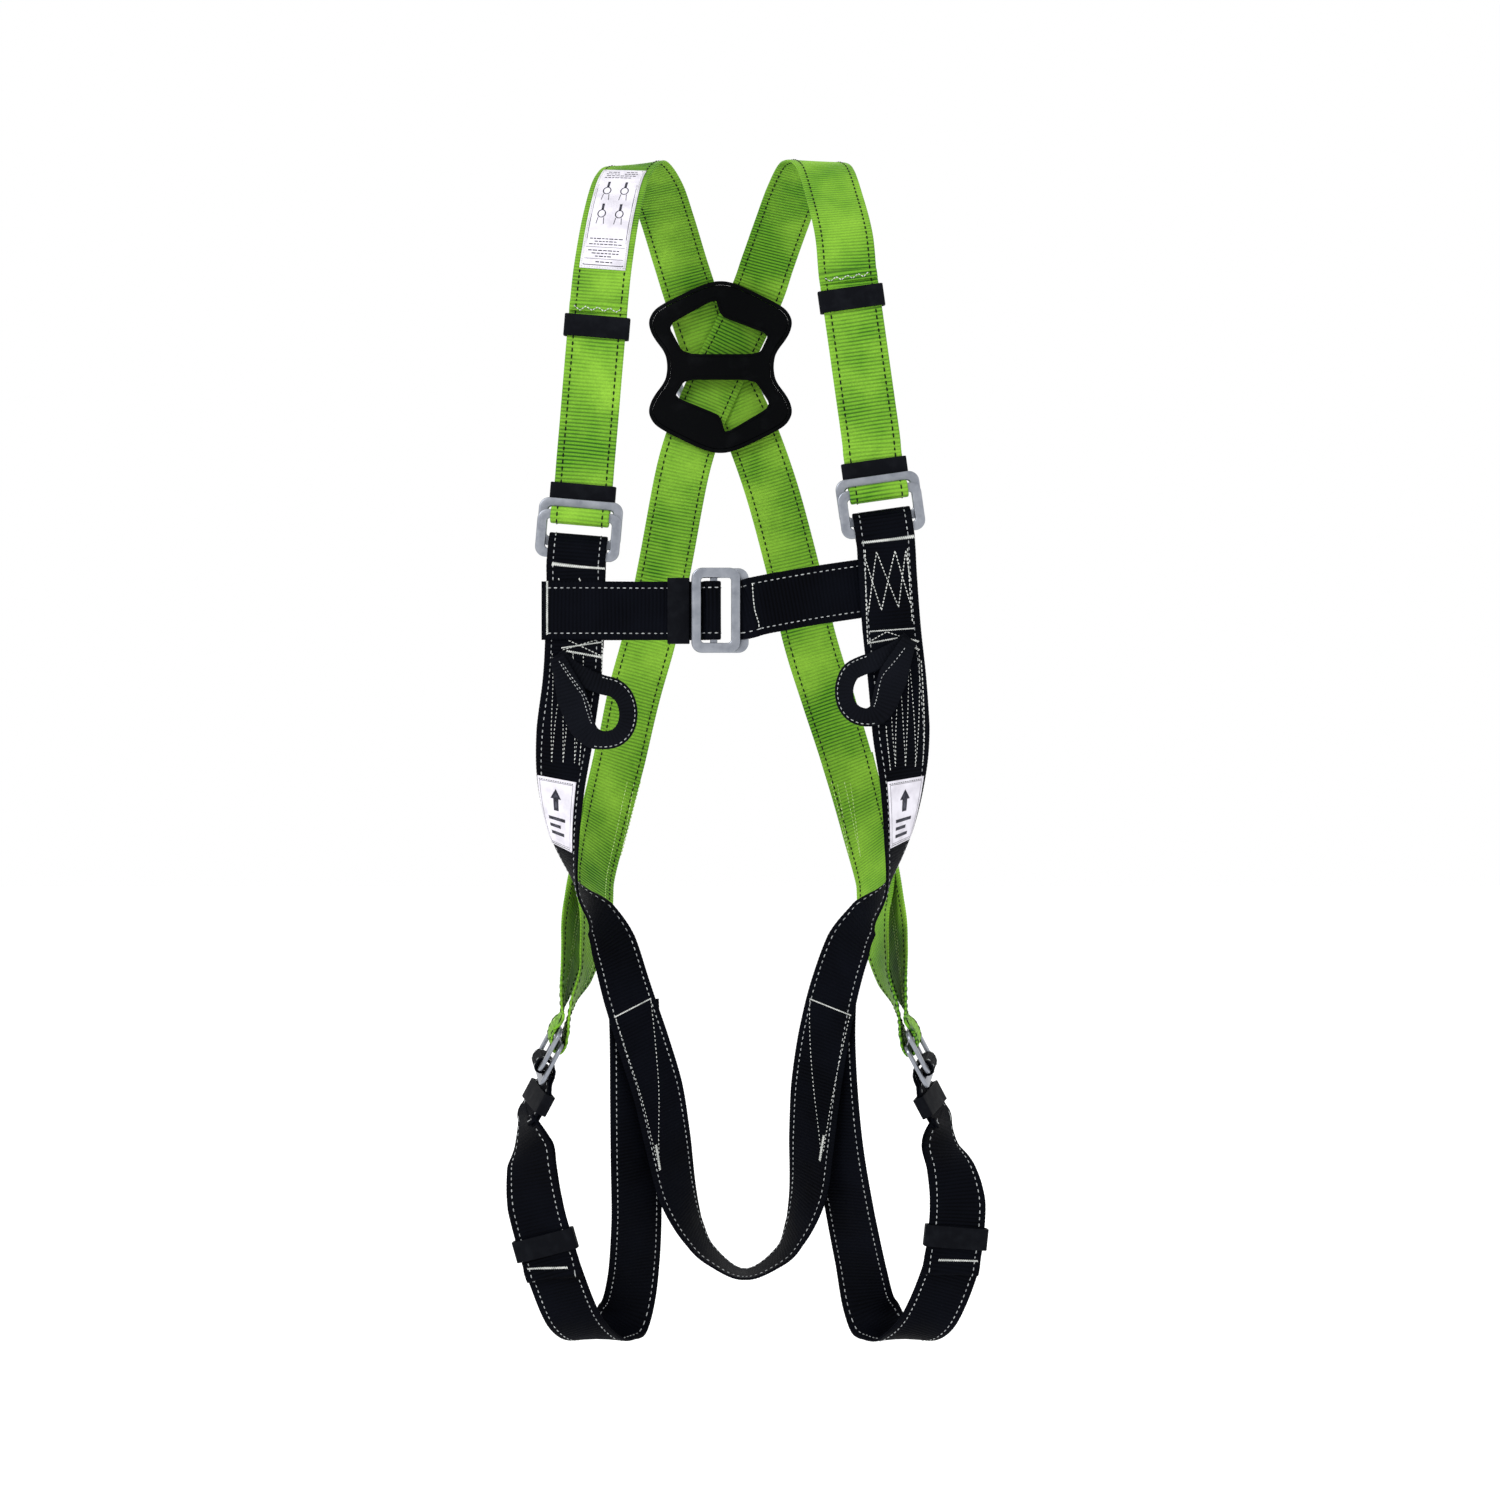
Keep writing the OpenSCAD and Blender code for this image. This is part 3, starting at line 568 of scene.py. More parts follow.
def webbing_material(name, dark, body, light, sheen, tint, shine=0.1):
    """Woven polyester: floating warp yarns over cross ribs, with shade painted darker in the rib grooves and
    between the yarns, and uneven colour.
    """
    n = Nodes(name, Sheen_Weight=sheen, Sheen_Roughness=0.45, Sheen_Tint=tint, Specular_IOR_Level=shine)
    weave = n.add("UVMap", uv_map="weave").outputs[0]
    split = n.add("SeparateXYZ", {0: weave})
    u, s = split.outputs[0], split.outputs[1]
    rib = n.math("ABSOLUTE", n.math("COSINE", n.math("MULTIPLY", s, math.pi / (RIB * MM))))
    rib = n.math("POWER", rib, 1.35)
    yarn = n.math("ABSOLUTE", n.math("SINE", n.math("MULTIPLY", u, math.pi / 0.00085)))
    twill = n.math("SINE", n.add("Math", {0: n.math("MULTIPLY", u, math.pi / 0.0017),
        1: n.math("MULTIPLY", s, 2 * math.pi / (RIB * MM))}, operation="ADD").outputs[0])
    patches = n.noise(22, 3)
    fine = n.noise(900, 2)
    # Painted shade: the colour goes towards the dark colour in each rib groove
    colour = n.mix(n.span(rib, 0.05, 0.9, 0, 1), dark, body)
    colour = n.mix(n.span(patches, 0.35, 0.72, 0, 0.75), colour, light)
    # Painted shade in the gaps between the warp yarns
    colour = n.mix(n.span(yarn, 0, 0.55, 0.3, 0), colour, dark)
    colour = n.mix(n.span(fine, 0.3, 0.75, 0.25, 0), colour, dark)
    height = n.math("ADD", n.math("MULTIPLY", yarn, 0.7), n.math("MULTIPLY", twill, 0.25))
    height = n.math("ADD", height, n.math("MULTIPLY", fine, 0.6))
    rough = n.span(n.math("ADD", patches, n.math("MULTIPLY", fine, 0.3)), 0.4, 0.9, 0.5, 0.72)
    return n.finish(colour, rough, n.bump(height, 0.55, 0.00028))


def thread_material(name, dark, light):
    """Twisted sewing thread."""
    n = Nodes(name, Sheen_Weight=0.03, Specular_IOR_Level=0.1)
    split = n.add("SeparateXYZ", {0: n.add("UVMap", uv_map="weave").outputs[0]})
    ply = n.math("SINE", n.add("Math", {0: n.math("MULTIPLY", split.outputs[0], 2000.0),
        1: n.math("MULTIPLY", split.outputs[1], 7000.0)}, operation="ADD").outputs[0])
    worn = n.noise(160, 2)
    colour = n.mix(n.span(worn, 0.35, 0.7, 0, 1), dark, light)
    return n.finish(colour, n.span(worn, 0.3, 0.7, 0.5, 0.75), n.bump(ply, 0.5, 0.00012))


def steel_material():
    """Zinc-plated pressed steel: a fine spangle, dull patches and light handling scratches."""
    n = Nodes("zinc_plated_steel", Metallic=0.92, Specular_IOR_Level=0.5)
    spangle = n.add("TexVoronoi", {"Scale": 420.0, "Vector": n.where()}).outputs["Color"]
    spangle = n.add("SeparateColor", {0: spangle}).outputs[0]
    stretched = n.add("Mapping", {"Vector": n.where(), "Scale": (900, 900, 60)}).outputs[0]
    scratch = n.noise(1, 2, stretched)
    dull = n.noise(90, 4)
    colour = n.mix(n.span(dull, 0.35, 0.7, 0, 1), (0.2, 0.215, 0.25, 1), (0.27, 0.285, 0.32, 1))
    colour = n.mix(n.span(spangle, 0, 1, 0, 0.12), colour, (0.42, 0.44, 0.47, 1))
    rough = n.math("ADD", n.span(dull, 0.3, 0.7, 0.27, 0.44), n.span(scratch, 0.45, 0.75, 0, 0.12))
    normal = n.bump(scratch, 0.12, 0.0001, n.bump(dull, 0.2, 0.0002))
    return n.finish(colour, rough, normal)


def rubber_material():
    """Black moulded keeper: fine matte grain, paler and rubbed at the high spots."""
    n = Nodes("keeper_rubber_black", Specular_IOR_Level=0.04)
    grain = n.noise(2600, 2)
    wear = n.noise(120, 4)
    colour = n.mix(n.span(wear, 0.45, 0.75, 0, 1), (0.002, 0.0024, 0.004, 1), (0.005, 0.0058, 0.008, 1))
    return n.finish(colour, n.span(wear, 0.3, 0.7, 0.5, 0.66), n.bump(grain, 0.35, 0.00008))


def plastic_material():
    """Black moulded plate: spark-eroded grain with a faint gloss and pale scuffs."""
    n = Nodes("plate_plastic_black", Specular_IOR_Level=0.03)
    grain = n.add("TexVoronoi", {"Scale": 1500.0, "Vector": n.where()}).outputs["Distance"]
    scuff = n.noise(60, 5)
    colour = n.mix(n.span(scuff, 0.55, 0.78, 0, 1), (0.0012, 0.0014, 0.002, 1), (0.004, 0.0044, 0.0055, 1))
    return n.finish(colour, n.span(scuff, 0.35, 0.7, 0.42, 0.6), n.bump(grain, 0.3, 0.00008))


def cloth_material(name, dark, light):
    """Close satin label cloth, a little soiled."""
    n = Nodes(name, Sheen_Weight=0.1, Specular_IOR_Level=0.3)
    split = n.add("SeparateXYZ", {0: n.add("UVMap", uv_map="weave").outputs[0]})
    warp = n.math("SINE", n.math("MULTIPLY", split.outputs[0], 2 * math.pi / 0.0004))
    weft = n.math("SINE", n.math("MULTIPLY", split.outputs[1], 2 * math.pi / 0.0004))
    soil = n.noise(70, 4)
    colour = n.mix(n.span(soil, 0.4, 0.75, 0, 1), light, dark)
    height = n.math("MULTIPLY", warp, weft)
    return n.finish(colour, n.span(soil, 0.3, 0.7, 0.6, 0.72), n.bump(height, 0.4, 0.0001))


# The first colour of each webbing is its painted shade in the rib grooves and between the yarns, and its
# random dark flecks
green = webbing_material("green_webbing_weave", (0.008, 0.055, 0.003, 1), (0.125, 0.35, 0.013, 1),
    (0.3, 0.58, 0.05, 1), 0.03, (0.75, 1, 0.4, 1), 0.12)
black = webbing_material("black_webbing_weave", (0.0004, 0.0005, 0.001, 1), (0.0016, 0.002, 0.0038, 1),
    (0.0034, 0.0042, 0.0075, 1), 0.0, (0.6, 0.7, 1, 1), 0.02)
loop_black = webbing_material("loop_webbing_weave", (0.0005, 0.0007, 0.0014, 1), (0.0024, 0.003, 0.005, 1),
    (0.0055, 0.0065, 0.01, 1), 0.0, (0.6, 0.7, 1, 1), 0.03)
dark_thread = thread_material("tracer_thread_dark", (0.001, 0.004, 0.001, 1), (0.004, 0.014, 0.003, 1))
pale_thread = thread_material("sewing_thread_pale", (0.42, 0.44, 0.42, 1), (0.72, 0.73, 0.7, 1))
dim_thread = thread_material("tracer_thread_pale", (0.22, 0.23, 0.24, 1), (0.5, 0.52, 0.52, 1))
lime_thread = thread_material("sewing_thread_lime", (0.35, 0.55, 0.12, 1), (0.6, 0.78, 0.35, 1))
steel = steel_material()
rubber = rubber_material()
plastic = plastic_material()
cloth = cloth_material("label_cloth_white", (0.52, 0.5, 0.56, 1), (0.74, 0.72, 0.79, 1))
ink = cloth_material("label_ink", (0.02, 0.02, 0.035, 1), (0.045, 0.045, 0.07, 1))

# ---------- Straps ----------

left_shoulder_strap = Strap(left_shoulder_route)
right_shoulder_strap = Strap(right_shoulder_route)
seat_strap = Strap(seat_route)
left_leg_strap = Strap(left_leg_route)
right_leg_strap = Strap(right_leg_route)
chest_adjusting = Strap(chest_adjusting_route)
chest_fixed = Strap(chest_fixed_route)


def make_strap(name, strap, node, material, slot, tracer, *sewn):
    """A strap's webbing with its tracer threads, and the patterns sewn on it as (thread, meshes)."""
    points, faces, uv = webbing_mesh(strap)
    web = piece(name, points, faces, material, nodes=[node], uv=uv)
    thread, dash, pitch, r = tracer
    points, faces, uv = joined(tracers(strap, dash, pitch, r))
    extra = [piece(name + "_tracers", points, faces, thread, uv=uv)]
    for k, (colour, parts) in enumerate(sewn):
        points, faces, uv = joined(parts)
        extra.append(piece(f"{name}_stitching_{k + 1}", points, faces, colour, uv=uv))
    return web


# Each colour's material, its slot, and its tracer thread's dash, pitch and radius
GREEN = green, "green_webbing", (dark_thread, 3.4, 5.1, 0.6)
BLACK = black, "black_webbing", (dim_thread, 2.6, 4.8, 0.42)
FRONT_Y, INNER_Y = -113.3, -101


def seen(strap, y, points, dash=2.0, pitch=2.8, r=0.42, lift=0.0):
    """Stitches along points (x, z) or (x, z, y) seen from the front, on the layer near the depth y."""
    path = [strap.spot(p[0], p[2] if len(p) > 2 else y, p[1]) for p in points]
    return sew(strap, path, dash, pitch, strap.facing(path[0][0]), r, lift)


def bar(strap, y, a, b, width=1.2):
    """A bar tack between two points (x, z) seen from the front."""
    a, b = strap.spot(a[0], y, a[1]), strap.spot(b[0], y, b[1])
    return tack(strap, a, b, strap.facing(a[0]), width)


def spread(strap, y, top, low, x_top, x_low, legs):
    """A long zigzag down the strap: its legs run between the heights top and low."""
    points = []
    for i in range(legs + 1):
        f = i / legs
        high = i % 2 == 0
        points.append((x_top[0] + f * (x_top[1] - x_top[0]), top) if high
            else (x_low[0] + f * (x_low[1] - x_low[0]), low))
    return seen(strap, y, points, 1.7, 3.1, 0.33)


# Left front strap: a bar below the buckle, the crossed box below the chest strap and a long zigzag
left_box = [
    bar(seat_strap, FRONT_Y, (-140, -333.5), (-99.5, -337.5)),
    seen(seat_strap, FRONT_Y, [(-135, -345), (-127, -388), (-119, -345), (-110, -388), (-103, -346)]),
    bar(seat_strap, FRONT_Y, (-133, -398.4), (-102, -394.3), 0.5),
    bar(seat_strap, FRONT_Y, (-129, -401.2), (-101, -405.6), 0.9),
    seen(seat_strap, FRONT_Y, [(-130, -391.5), (-101.4, -405.5)]),
    seen(seat_strap, FRONT_Y, [(-132, -400.5), (-102, -391.5)]),
    seen(seat_strap, FRONT_Y, [(-101.5, -392), (-101.8, -419)], r=0.5),
    spread(seat_strap, FRONT_Y, -403, -487, (-140, -116), (-145, -118), 6),
    seen(seat_strap, FRONT_Y, [(-117.3, -467), (-118.8, -489)], 2.2, 3.2, 0.4)]
# Right front strap: the same, with its crossed W in full view
right_box = [
    bar(seat_strap, FRONT_Y, (97.8, -318), (138, -312.6)),
    seen(seat_strap, FRONT_Y, [(99.6, -327), (113, -369.5), (123.4, -324), (135.7, -366)]),
    seen(seat_strap, FRONT_Y, [(103, -371), (109.2, -325), (126.2, -367.5), (131.7, -323.5), (135, -346)]),
    seen(seat_strap, FRONT_Y, [(100.4, -323), (102.6, -395)], 2.4, 3.4),
    seen(seat_strap, FRONT_Y, [(133, -322), (137, -381)], 2.4, 3.4),
    bar(seat_strap, FRONT_Y, (104, -386), (137.8, -383.4), 0.5),
    bar(seat_strap, FRONT_Y, (102.3, -395.2), (133, -390), 0.6),
    seen(seat_strap, FRONT_Y, [(103, -394.5), (117, -386), (134, -391.6)]),
    bar(seat_strap, FRONT_Y, (133.8, -391.6), (141.6, -394), 0.9),
    bar(seat_strap, FRONT_Y, (134.6, -396.2), (142, -400.4), 0.9),
    spread(seat_strap, FRONT_Y, -404, -490, (142, 117), (143, 119.5), 6),
    seen(seat_strap, FRONT_Y, [(143.4, -408), (144.9, -488)], 2.2, 3.2, 0.4),
    seen(seat_strap, FRONT_Y, [(116.4, -458), (119.4, -493)], 2.2, 3.2, 0.4)]

# Where the leg straps are sewn behind the seat strap: one bar across, and a V that ends in a tack
crotch = [
    bar(seat_strap, -56, (-95, -687), (-67, -674), 0.5),
    seen(seat_strap, -56, [(-94, -688, -57), (-62.5, -806, -21)], 1.8, 3.4, 0.34),
    seen(seat_strap, -56, [(-67, -676, -43), (-61.5, -806, -20)], 1.8, 3.4, 0.34),
    bar(seat_strap, -20, (-63.5, -791), (-60.5, -812), 1.2),
    bar(seat_strap, -56, (92, -685), (60, -674), 0.5),
    seen(seat_strap, -56, [(91, -686, -58), (71, -798, -28)], 1.8, 3.4, 0.34),
    seen(seat_strap, -56, [(60, -675, -43), (69.5, -798, -27)], 1.8, 3.4, 0.34),
    bar(seat_strap, -26, (71.5, -783), (68.5, -804), 1.2)]



def low_back(strap, side):
    """A long W in the webbing's own colour, where the returned end is sewn on at the lower back."""
    rows = []
    for dx in (-13, -2, 9):
        top, end = (side * (94 + dx), -504, 98), (side * (99 + dx), -504, 98)
        low = (side * (106 + 0.8 * dx), -566, 58)
        rows.append(seen(strap, 98, [top, low, end], 2.2, 3.4, 0.36))
    return rows


def hem(strap, x, z, wide, rise, legs=8, deep=3.2):
    """A small zigzag across the free end of a shoulder strap."""
    points = [(x + wide * i / legs, z + rise * i / legs - deep * (i % 2)) for i in range(legs + 1)]
    return [seen(strap, INNER_Y, points, 1.9, 2.6, 0.42, 0.35)]


# The ends of the chest and leg straps
chest_tail_sewn = [bar(chest_adjusting, -115.8, (-143.4, -347.5), (-143.4, -388.5), 0.8)]
chest_fixed_sewn = [seen(chest_fixed, -118, [(13.8, -349), (18.6, -385)], 2.4, 2.9, 0.45)]
left_leg_sewn = [bar(left_leg_strap, -66, (-163, -885), (-131, -883.5), 0.9)]
right_leg_sewn = [bar(right_leg_strap, -66, (160, -878), (191, -879), 0.9)]

web_left_shoulder = make_strap("web_left_shoulder", left_shoulder_strap, "left_shoulder_strap", *GREEN,
    (lime_thread, low_back(left_shoulder_strap, 1)),
    (pale_thread, hem(left_shoulder_strap, -124, -133.5, 37, -2.5)))
web_right_shoulder = make_strap("web_right_shoulder", right_shoulder_strap, "right_shoulder_strap", *GREEN,
    (lime_thread, low_back(right_shoulder_strap, -1)),
    (pale_thread, hem(right_shoulder_strap, 70, -112.5, 34, 5)))
web_seat = make_strap("web_front_and_seat", seat_strap, "front_and_seat_strap", *BLACK,
    (pale_thread, left_box + right_box), (pale_thread, crotch))
for name, strap, sewn in (("left_leg", left_leg_strap, left_leg_sewn),
        ("right_leg", right_leg_strap, right_leg_sewn),
        ("chest_adjusting", chest_adjusting, chest_tail_sewn), ("chest_fixed", chest_fixed, chest_fixed_sewn)):
    make_strap(f"web_{name}", strap, f"{name}_strap", *BLACK, (pale_thread, sewn))

# ---------- Labels ----------


class Label:
    """A cloth label on a strap's front face. Its places are across from its middle and down from its top."""

    def __init__(self, name, strap, top, low, width, y, offset=0.0):
        self.name, self.strap = name, strap
        s0, u0 = strap.spot(*top)
        s1, _ = strap.spot(*low)
        self.s0, self.sign = s0, 1 if s1 > s0 else -1
        self.side = strap.facing(s0)
        self.long, self.width = abs(s1 - s0), width
        self.right = 1 if np.interp(s0, strap.s, strap.w[:, 0]) > 0 else -1
        self.offset = offset
        self.high = self.side * (strap.thick / 2 + 0.62)
        self.ink, self.thread = [], []

    def at(self, across, down):
        return self.s0 + self.sign * down, self.right * (across + self.offset)

    def mark(self, outline):
        self.ink.append(printed(self.strap, [self.at(*p) for p in outline], self.high + self.side * 0.4))

    def rule(self, a, b, wide=0.4):
        a, b = np.array(a, float), np.array(b, float)
        d = unit(b - a)
        n = np.array([-d[1], d[0]]) * wide / 2
        self.mark([a - n, b - n, b + n, a + n])

    def stitches(self, a, b, dash=1.5, pitch=2.2):
        self.thread.append(sew(self.strap, [self.at(*a), self.at(*b)], dash, pitch, self.side, 0.3, 0.95))

    def cloth_faces(self):
        a, b = self.at(-self.width / 2, 0), self.at(self.width / 2, self.long)
        return patch(self.strap, min(a[0], b[0]), max(a[0], b[0]), min(a[1], b[1]), max(a[1], b[1]),
            self.high, 0.7)

    def finish(self, node, stitch):
        points, faces, uv = self.cloth_faces()
        base = piece(self.name, points, faces, cloth, nodes=[node], uv=uv)
        points, faces, uv = joined(self.ink)
        extra = [piece(self.name + "_print", points, faces, ink, uv=uv)]
        points, faces, uv = joined(self.thread)
        extra.append(piece(self.name + "_stitching", points, faces, stitch, uv=uv))
        return base, extra


def hip_label(name, node, top, low, offset):
    """An up arrow over generic bars, inside a thin border."""
    label = Label(name, seat_strap, top, low, 36, FRONT_Y, offset)
    w, h = label.width / 2, label.long
    for edge in (((-w + 2.2, 3), (w - 2.2, 3)), ((-w + 2.2, h - 3), (w - 2.2, h - 3)),
            ((-w + 2.2, 3), (-w + 2.2, h - 3)), ((w - 2.2, 3), (w - 2.2, h - 3))):
        label.rule(*edge, 0.3)
    label.mark([(-0.5, 8), (5, 16), (-6, 16)])
    label.mark([(-3.2, 16), (2.2, 16), (2.2, 25.5), (-3.2, 25.5)])
    label.mark([(-10.5, 31), (9.5, 31), (9.5, 33.6), (-10.5, 33.6)])
    label.mark([(-10.5, 37), (3.5, 37), (3.5, 39.6), (-10.5, 39.6)])
    label.mark([(-10.5, 43), (7.5, 43), (7.5, 45.6), (-10.5, 45.6)])
    for k in (2, h - 1.6):
        label.stitches((-w + 1.5, k), (w - 1.5, k))
    return label.finish(node, dark_thread)


def instruction_label():
    """Columns of abstract marks between groups of fine bars, inside a ruled border."""
    label = Label("label_instructions", left_shoulder_strap, (-99, -87, -105), (-88, -16, -13), 36, INNER_Y)
    label.s0, label.sign = left_shoulder_strap.spot(-88, -16, -13)[0], -label.sign
    w, h = label.width / 2, label.long
    for x in (-w + 2.6, w - 2.6):
        label.rule((x, 2), (x, h - 3), 0.55)
    label.rule((-w + 2.6, h - 3), (w - 2.6, h - 3), 0.6)
    for down in (h - 9, h - 21):
        label.rule((-w + 2.8, down), (w - 2.8, down), 0.35)
    for down, a, b in ((h - 6, -6, 7), (h - 11.5, -7, 7), (h - 14.5, -10, 11), (h - 17.5, -13, 12),
            (h - 24, -13, 13), (h - 27, -9, 9), (h - 30, -13, 13), (5, -12, -3), (5, 3, 12), (8, -13, -2),
            (8, 2, 13), (11, -12, 12), (14, -13, 10)):
        x = a
        while x < b - 1:
            step = 1.6 + 1.9 * rng.random()
            label.rule((x, down), (min(x + step, b), down), 0.95)
            x += step + 0.8
    for column in (-7.5, 6.5):
        for top in (0.17 * h, 0.41 * h):
            ring = [(column + 3 * math.cos(a), top + 12 + 4.4 * math.sin(a))
                for a in np.arange(14) * math.pi / 7]
            for a, b in zip(ring, ring[1:] + ring[:1]):
                label.rule(a, b, 0.85)
            label.rule((column, top), (column, top + 7.4), 1.9)
            label.rule((column - 2.2, top + 16.5), (column - 3, top + 24), 0.5)
            label.rule((column + 2.2, top + 16.5), (column + 2.9, top + 24), 0.5)
    label.stitches((-w + 1.2, 1), (-w + 1.2, h - 1), 1.3, 2.0)
    label.stitches((w - 1.2, 1), (w - 1.2, h - 1), 1.3, 2.0)
    label.stitches((-w + 1.2, h - 1.2), (w - 1.2, h - 1.2), 1.3, 2.0)
    return label, label.finish("instruction_label", pale_thread)


labels = [hip_label("label_left_hip", "left_hip_label", (-134, -104, -499.5), (-131, -90, -553), -3),
    hip_label("label_right_hip", "right_hip_label", (130, -104, -499), (128, -92, -549), 1.5)]
instructions, instruction_pieces = instruction_label()
labels.append(instruction_pieces)

# ---------- Textile loops ----------

# Middle line of a loop's band: from its sewn end, round the eye and back, as x and z from its hinge
left_loop_line = [(-29, 43), (-22, 35), (-13, 28.5), (-4, 23.5), (6, 20), (15, 17.5), (21.5, 12), (25, 4),
    (25.6, -5), (23, -14), (16.5, -20.5), (7, -22.5), (-2.5, -20), (-9.5, -12), (-13.5, -2), (-17, 9),
    (-21, 21), (-25.5, 33), (-29, 42)]
right_loop_line = [(29, 42), (21, 34), (12, 28.5), (2, 24), (-8, 20.5), (-16, 16), (-20.3, 8), (-21.3, -1),
    (-19, -10), (-13, -16.5), (-4, -19), (4.5, -16), (9.5, -8), (13, 3), (17, 14), (21.5, 25), (26, 35),
    (29, 41)]
# The lower arm is opened out where it lies on the strap
ARM_WIDTHS = [(0, 0.9), (0.12, 1.1), (0.3, 1.05), (0.42, 1), (0.58, 1), (0.7, 1.45), (0.82, 1.65),
    (0.93, 1.1), (1, 0.8)]


def loop_strap(axis, line, depth):
    """One layer of a loop's band, whose sewn ends lie one over the other."""
    line = np.array(line, float)
    n = len(line)
    route = []
    for i, (x, z) in enumerate(line):
        along = unit(line[min(i + 1, n - 1)] - line[max(i - 1, 0)])
        f = i / (n - 1)
        rise = 1.9 * (1 - np.clip(f / 0.3, 0, 1)) - 3.4 * np.clip((f - 0.6) / 0.3, 0, 1)
        route.append((np.array([axis[0] + x, axis[1] + rise + depth, axis[2] + z]),
            np.array([-along[1], 0, along[0]])))
    return Strap(route, LOOP_BAND, 1.9, ARM_WIDTHS)


def textile_loop(name, side, axis, line, v_marks):
    """A band of narrow webbing in two layers, edge stitched."""
    body, nodes = f"{side}_loop", [f"{side}_loop", f"{side}_loop_tab"]
    layers = [loop_strap(axis, line, depth) for depth in (-1.05, 1.05)]
    points, faces, uv = joined([webbing_mesh(layer) for layer in layers])
    web = piece(name, points, faces, loop_black, None, nodes, uv)
    front = layers[0]
    half = front.length / 2
    face = front.facing(half)
    reach = [np.linalg.norm(front.place(half, k, 0) - np.array(axis)) for k in (5, -5)]
    out = 5.1 if reach[0] > reach[1] else -5.1
    rows = [sew(front, [(0.22 * front.length, out), (0.62 * front.length, out)], 1.9, 3.2, face, 0.36)]
    for path in v_marks:
        rows.append(seen(front, axis[1] - 4, [(axis[0] + x, axis[2] + z) for x, z in path], 1.7, 3.0, 0.33))
    points, faces, uv = joined(rows)
    threads = piece(name + "_stitching", points, faces, dim_thread, None, (), uv)
    for part in (web, threads):
        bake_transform(part)


LEFT_LOOP_AXIS, RIGHT_LOOP_AXIS = (-107, -118.4, -447), (105.5, -118.4, -433)
textile_loop("loop_band_left", "left", LEFT_LOOP_AXIS, left_loop_line,
    [[(-27, 38), (-12, 10), (-3, -12)], [(-24, 36), (-8, 4), (-4, -8)]])
textile_loop("loop_band_right", "right", RIGHT_LOOP_AXIS, right_loop_line,
    [[(25, 34), (10, 10), (2, -12)]])

# ---------- Hardware ----------


def steel_frame(name, node, buckle, height=FRAME_H, v=0.0, n=0.0, body="webbing"):
    """A pressed frame with rolled edges."""
    outer = rounded_loop(FRAME_L, height, FRAME_R)
    inner = rounded_loop(FRAME_L - 2 * BAR_W - 1, height - 2 * BAR_W, 2.5)
    points, faces = band(inner, outer, PLATE_T, 0.9)
    piece(name, placed(points, buckle, v, n), faces, steel, body, [node])


for side, shoulder, leg in (("left", left_shoulder, left_leg), ("right", right_shoulder, right_leg)):
    steel_frame(f"steel_{side}_shoulder_front", f"{side}_shoulder_front_frame", shoulder)
    steel_frame(f"steel_{side}_shoulder_rear", f"{side}_shoulder_rear_frame", shoulder, v=REAR_V, n=REAR_N)
    steel_frame(f"steel_{side}_leg_front", f"{side}_leg_front_frame", leg)
    steel_frame(f"steel_{side}_leg_rear", f"{side}_leg_rear_frame", leg, v=REAR_V, n=REAR_N)
steel_frame("steel_chest_front", "chest_front_frame", chest, body="chest_front_frame")
steel_frame("steel_chest_rear", "chest_rear_frame", chest, CHEST_FRAME_H, -3, -6.5)

outline = rounded_loop(5.6, 2.4, 1.0, side=2)
ends = [(-27, 0.7), (-26.6, 0.9), (-25.8, 1), (25.8, 1), (26.6, 0.9), (27, 0.7)]
bar_points = np.array([[(x, p[0] * k, p[1] * k) for p in outline] for x, k in ends])
bar_faces = grid_faces(len(ends), len(outline)) + [
    list(range(len(outline)))[::-1], list(range((len(ends) - 1) * len(outline), len(ends) * len(outline)))]
piece("steel_chest_slide_bar", placed(bar_points, chest, 1.8, -3), bar_faces, steel,
    nodes=["chest_slide_bar"])


def keeper(name, node, centre, yaw, roll):
    """A moulded band round two layers of webbing, slightly crowned."""
    buckle = [centre, yaw, roll]
    outer = rounded_loop(WEB_W + 2.6 + 2 * KEEPER_WALL, KEEPER_ROOM + 2 * KEEPER_WALL, 2.4, 6, 10, 0.5)
    inner = rounded_loop(WEB_W + 2.6, KEEPER_ROOM, 1, 6, 10, 0.3)
    points, faces = band(inner, outer, KEEPER_L, 0.55)
    points = points.reshape(-1, 3)[:, [0, 2, 1]] * np.array([1, 1, -1])
    piece(name, placed(points, buckle), faces, rubber, node, [node])


def beside(buckle, v):
    """The place of a keeper round both layers, at v from a buckle, with the buckle's yaw and roll."""
    _, v_axis, n_axis = axes(buckle)
    return np.array(buckle[0]) + v * v_axis + LAYERS_N * n_axis, *buckle[1:]


keeper("keeper_band_left_upper", "left_upper_keeper", [-106.4, -99.4, -150], 0, 4.8)
keeper("keeper_band_right_upper", "right_upper_keeper", [90.4, -99.4, -128], 0, -8)
keeper("keeper_band_left_lower", "left_lower_keeper", *beside(left_shoulder, 31.9))
keeper("keeper_band_right_lower", "right_lower_keeper", *beside(right_shoulder, 31.9))
keeper("keeper_band_chest", "chest_keeper", [-43, -111.2, -370], 0, -90)
keeper("keeper_band_left_leg_upper", "left_leg_upper_keeper", *beside(left_leg_low, 40.8))
keeper("keeper_band_right_leg_upper", "right_leg_upper_keeper", *beside(right_leg_low, 40.8))
keeper("keeper_band_left_leg_lower", "left_leg_lower_keeper", [-149, -62, -866], -9.8, -15.8)
keeper("keeper_band_right_leg_lower", "right_leg_lower_keeper", [173.8, -62, -860], 9.4, 6)

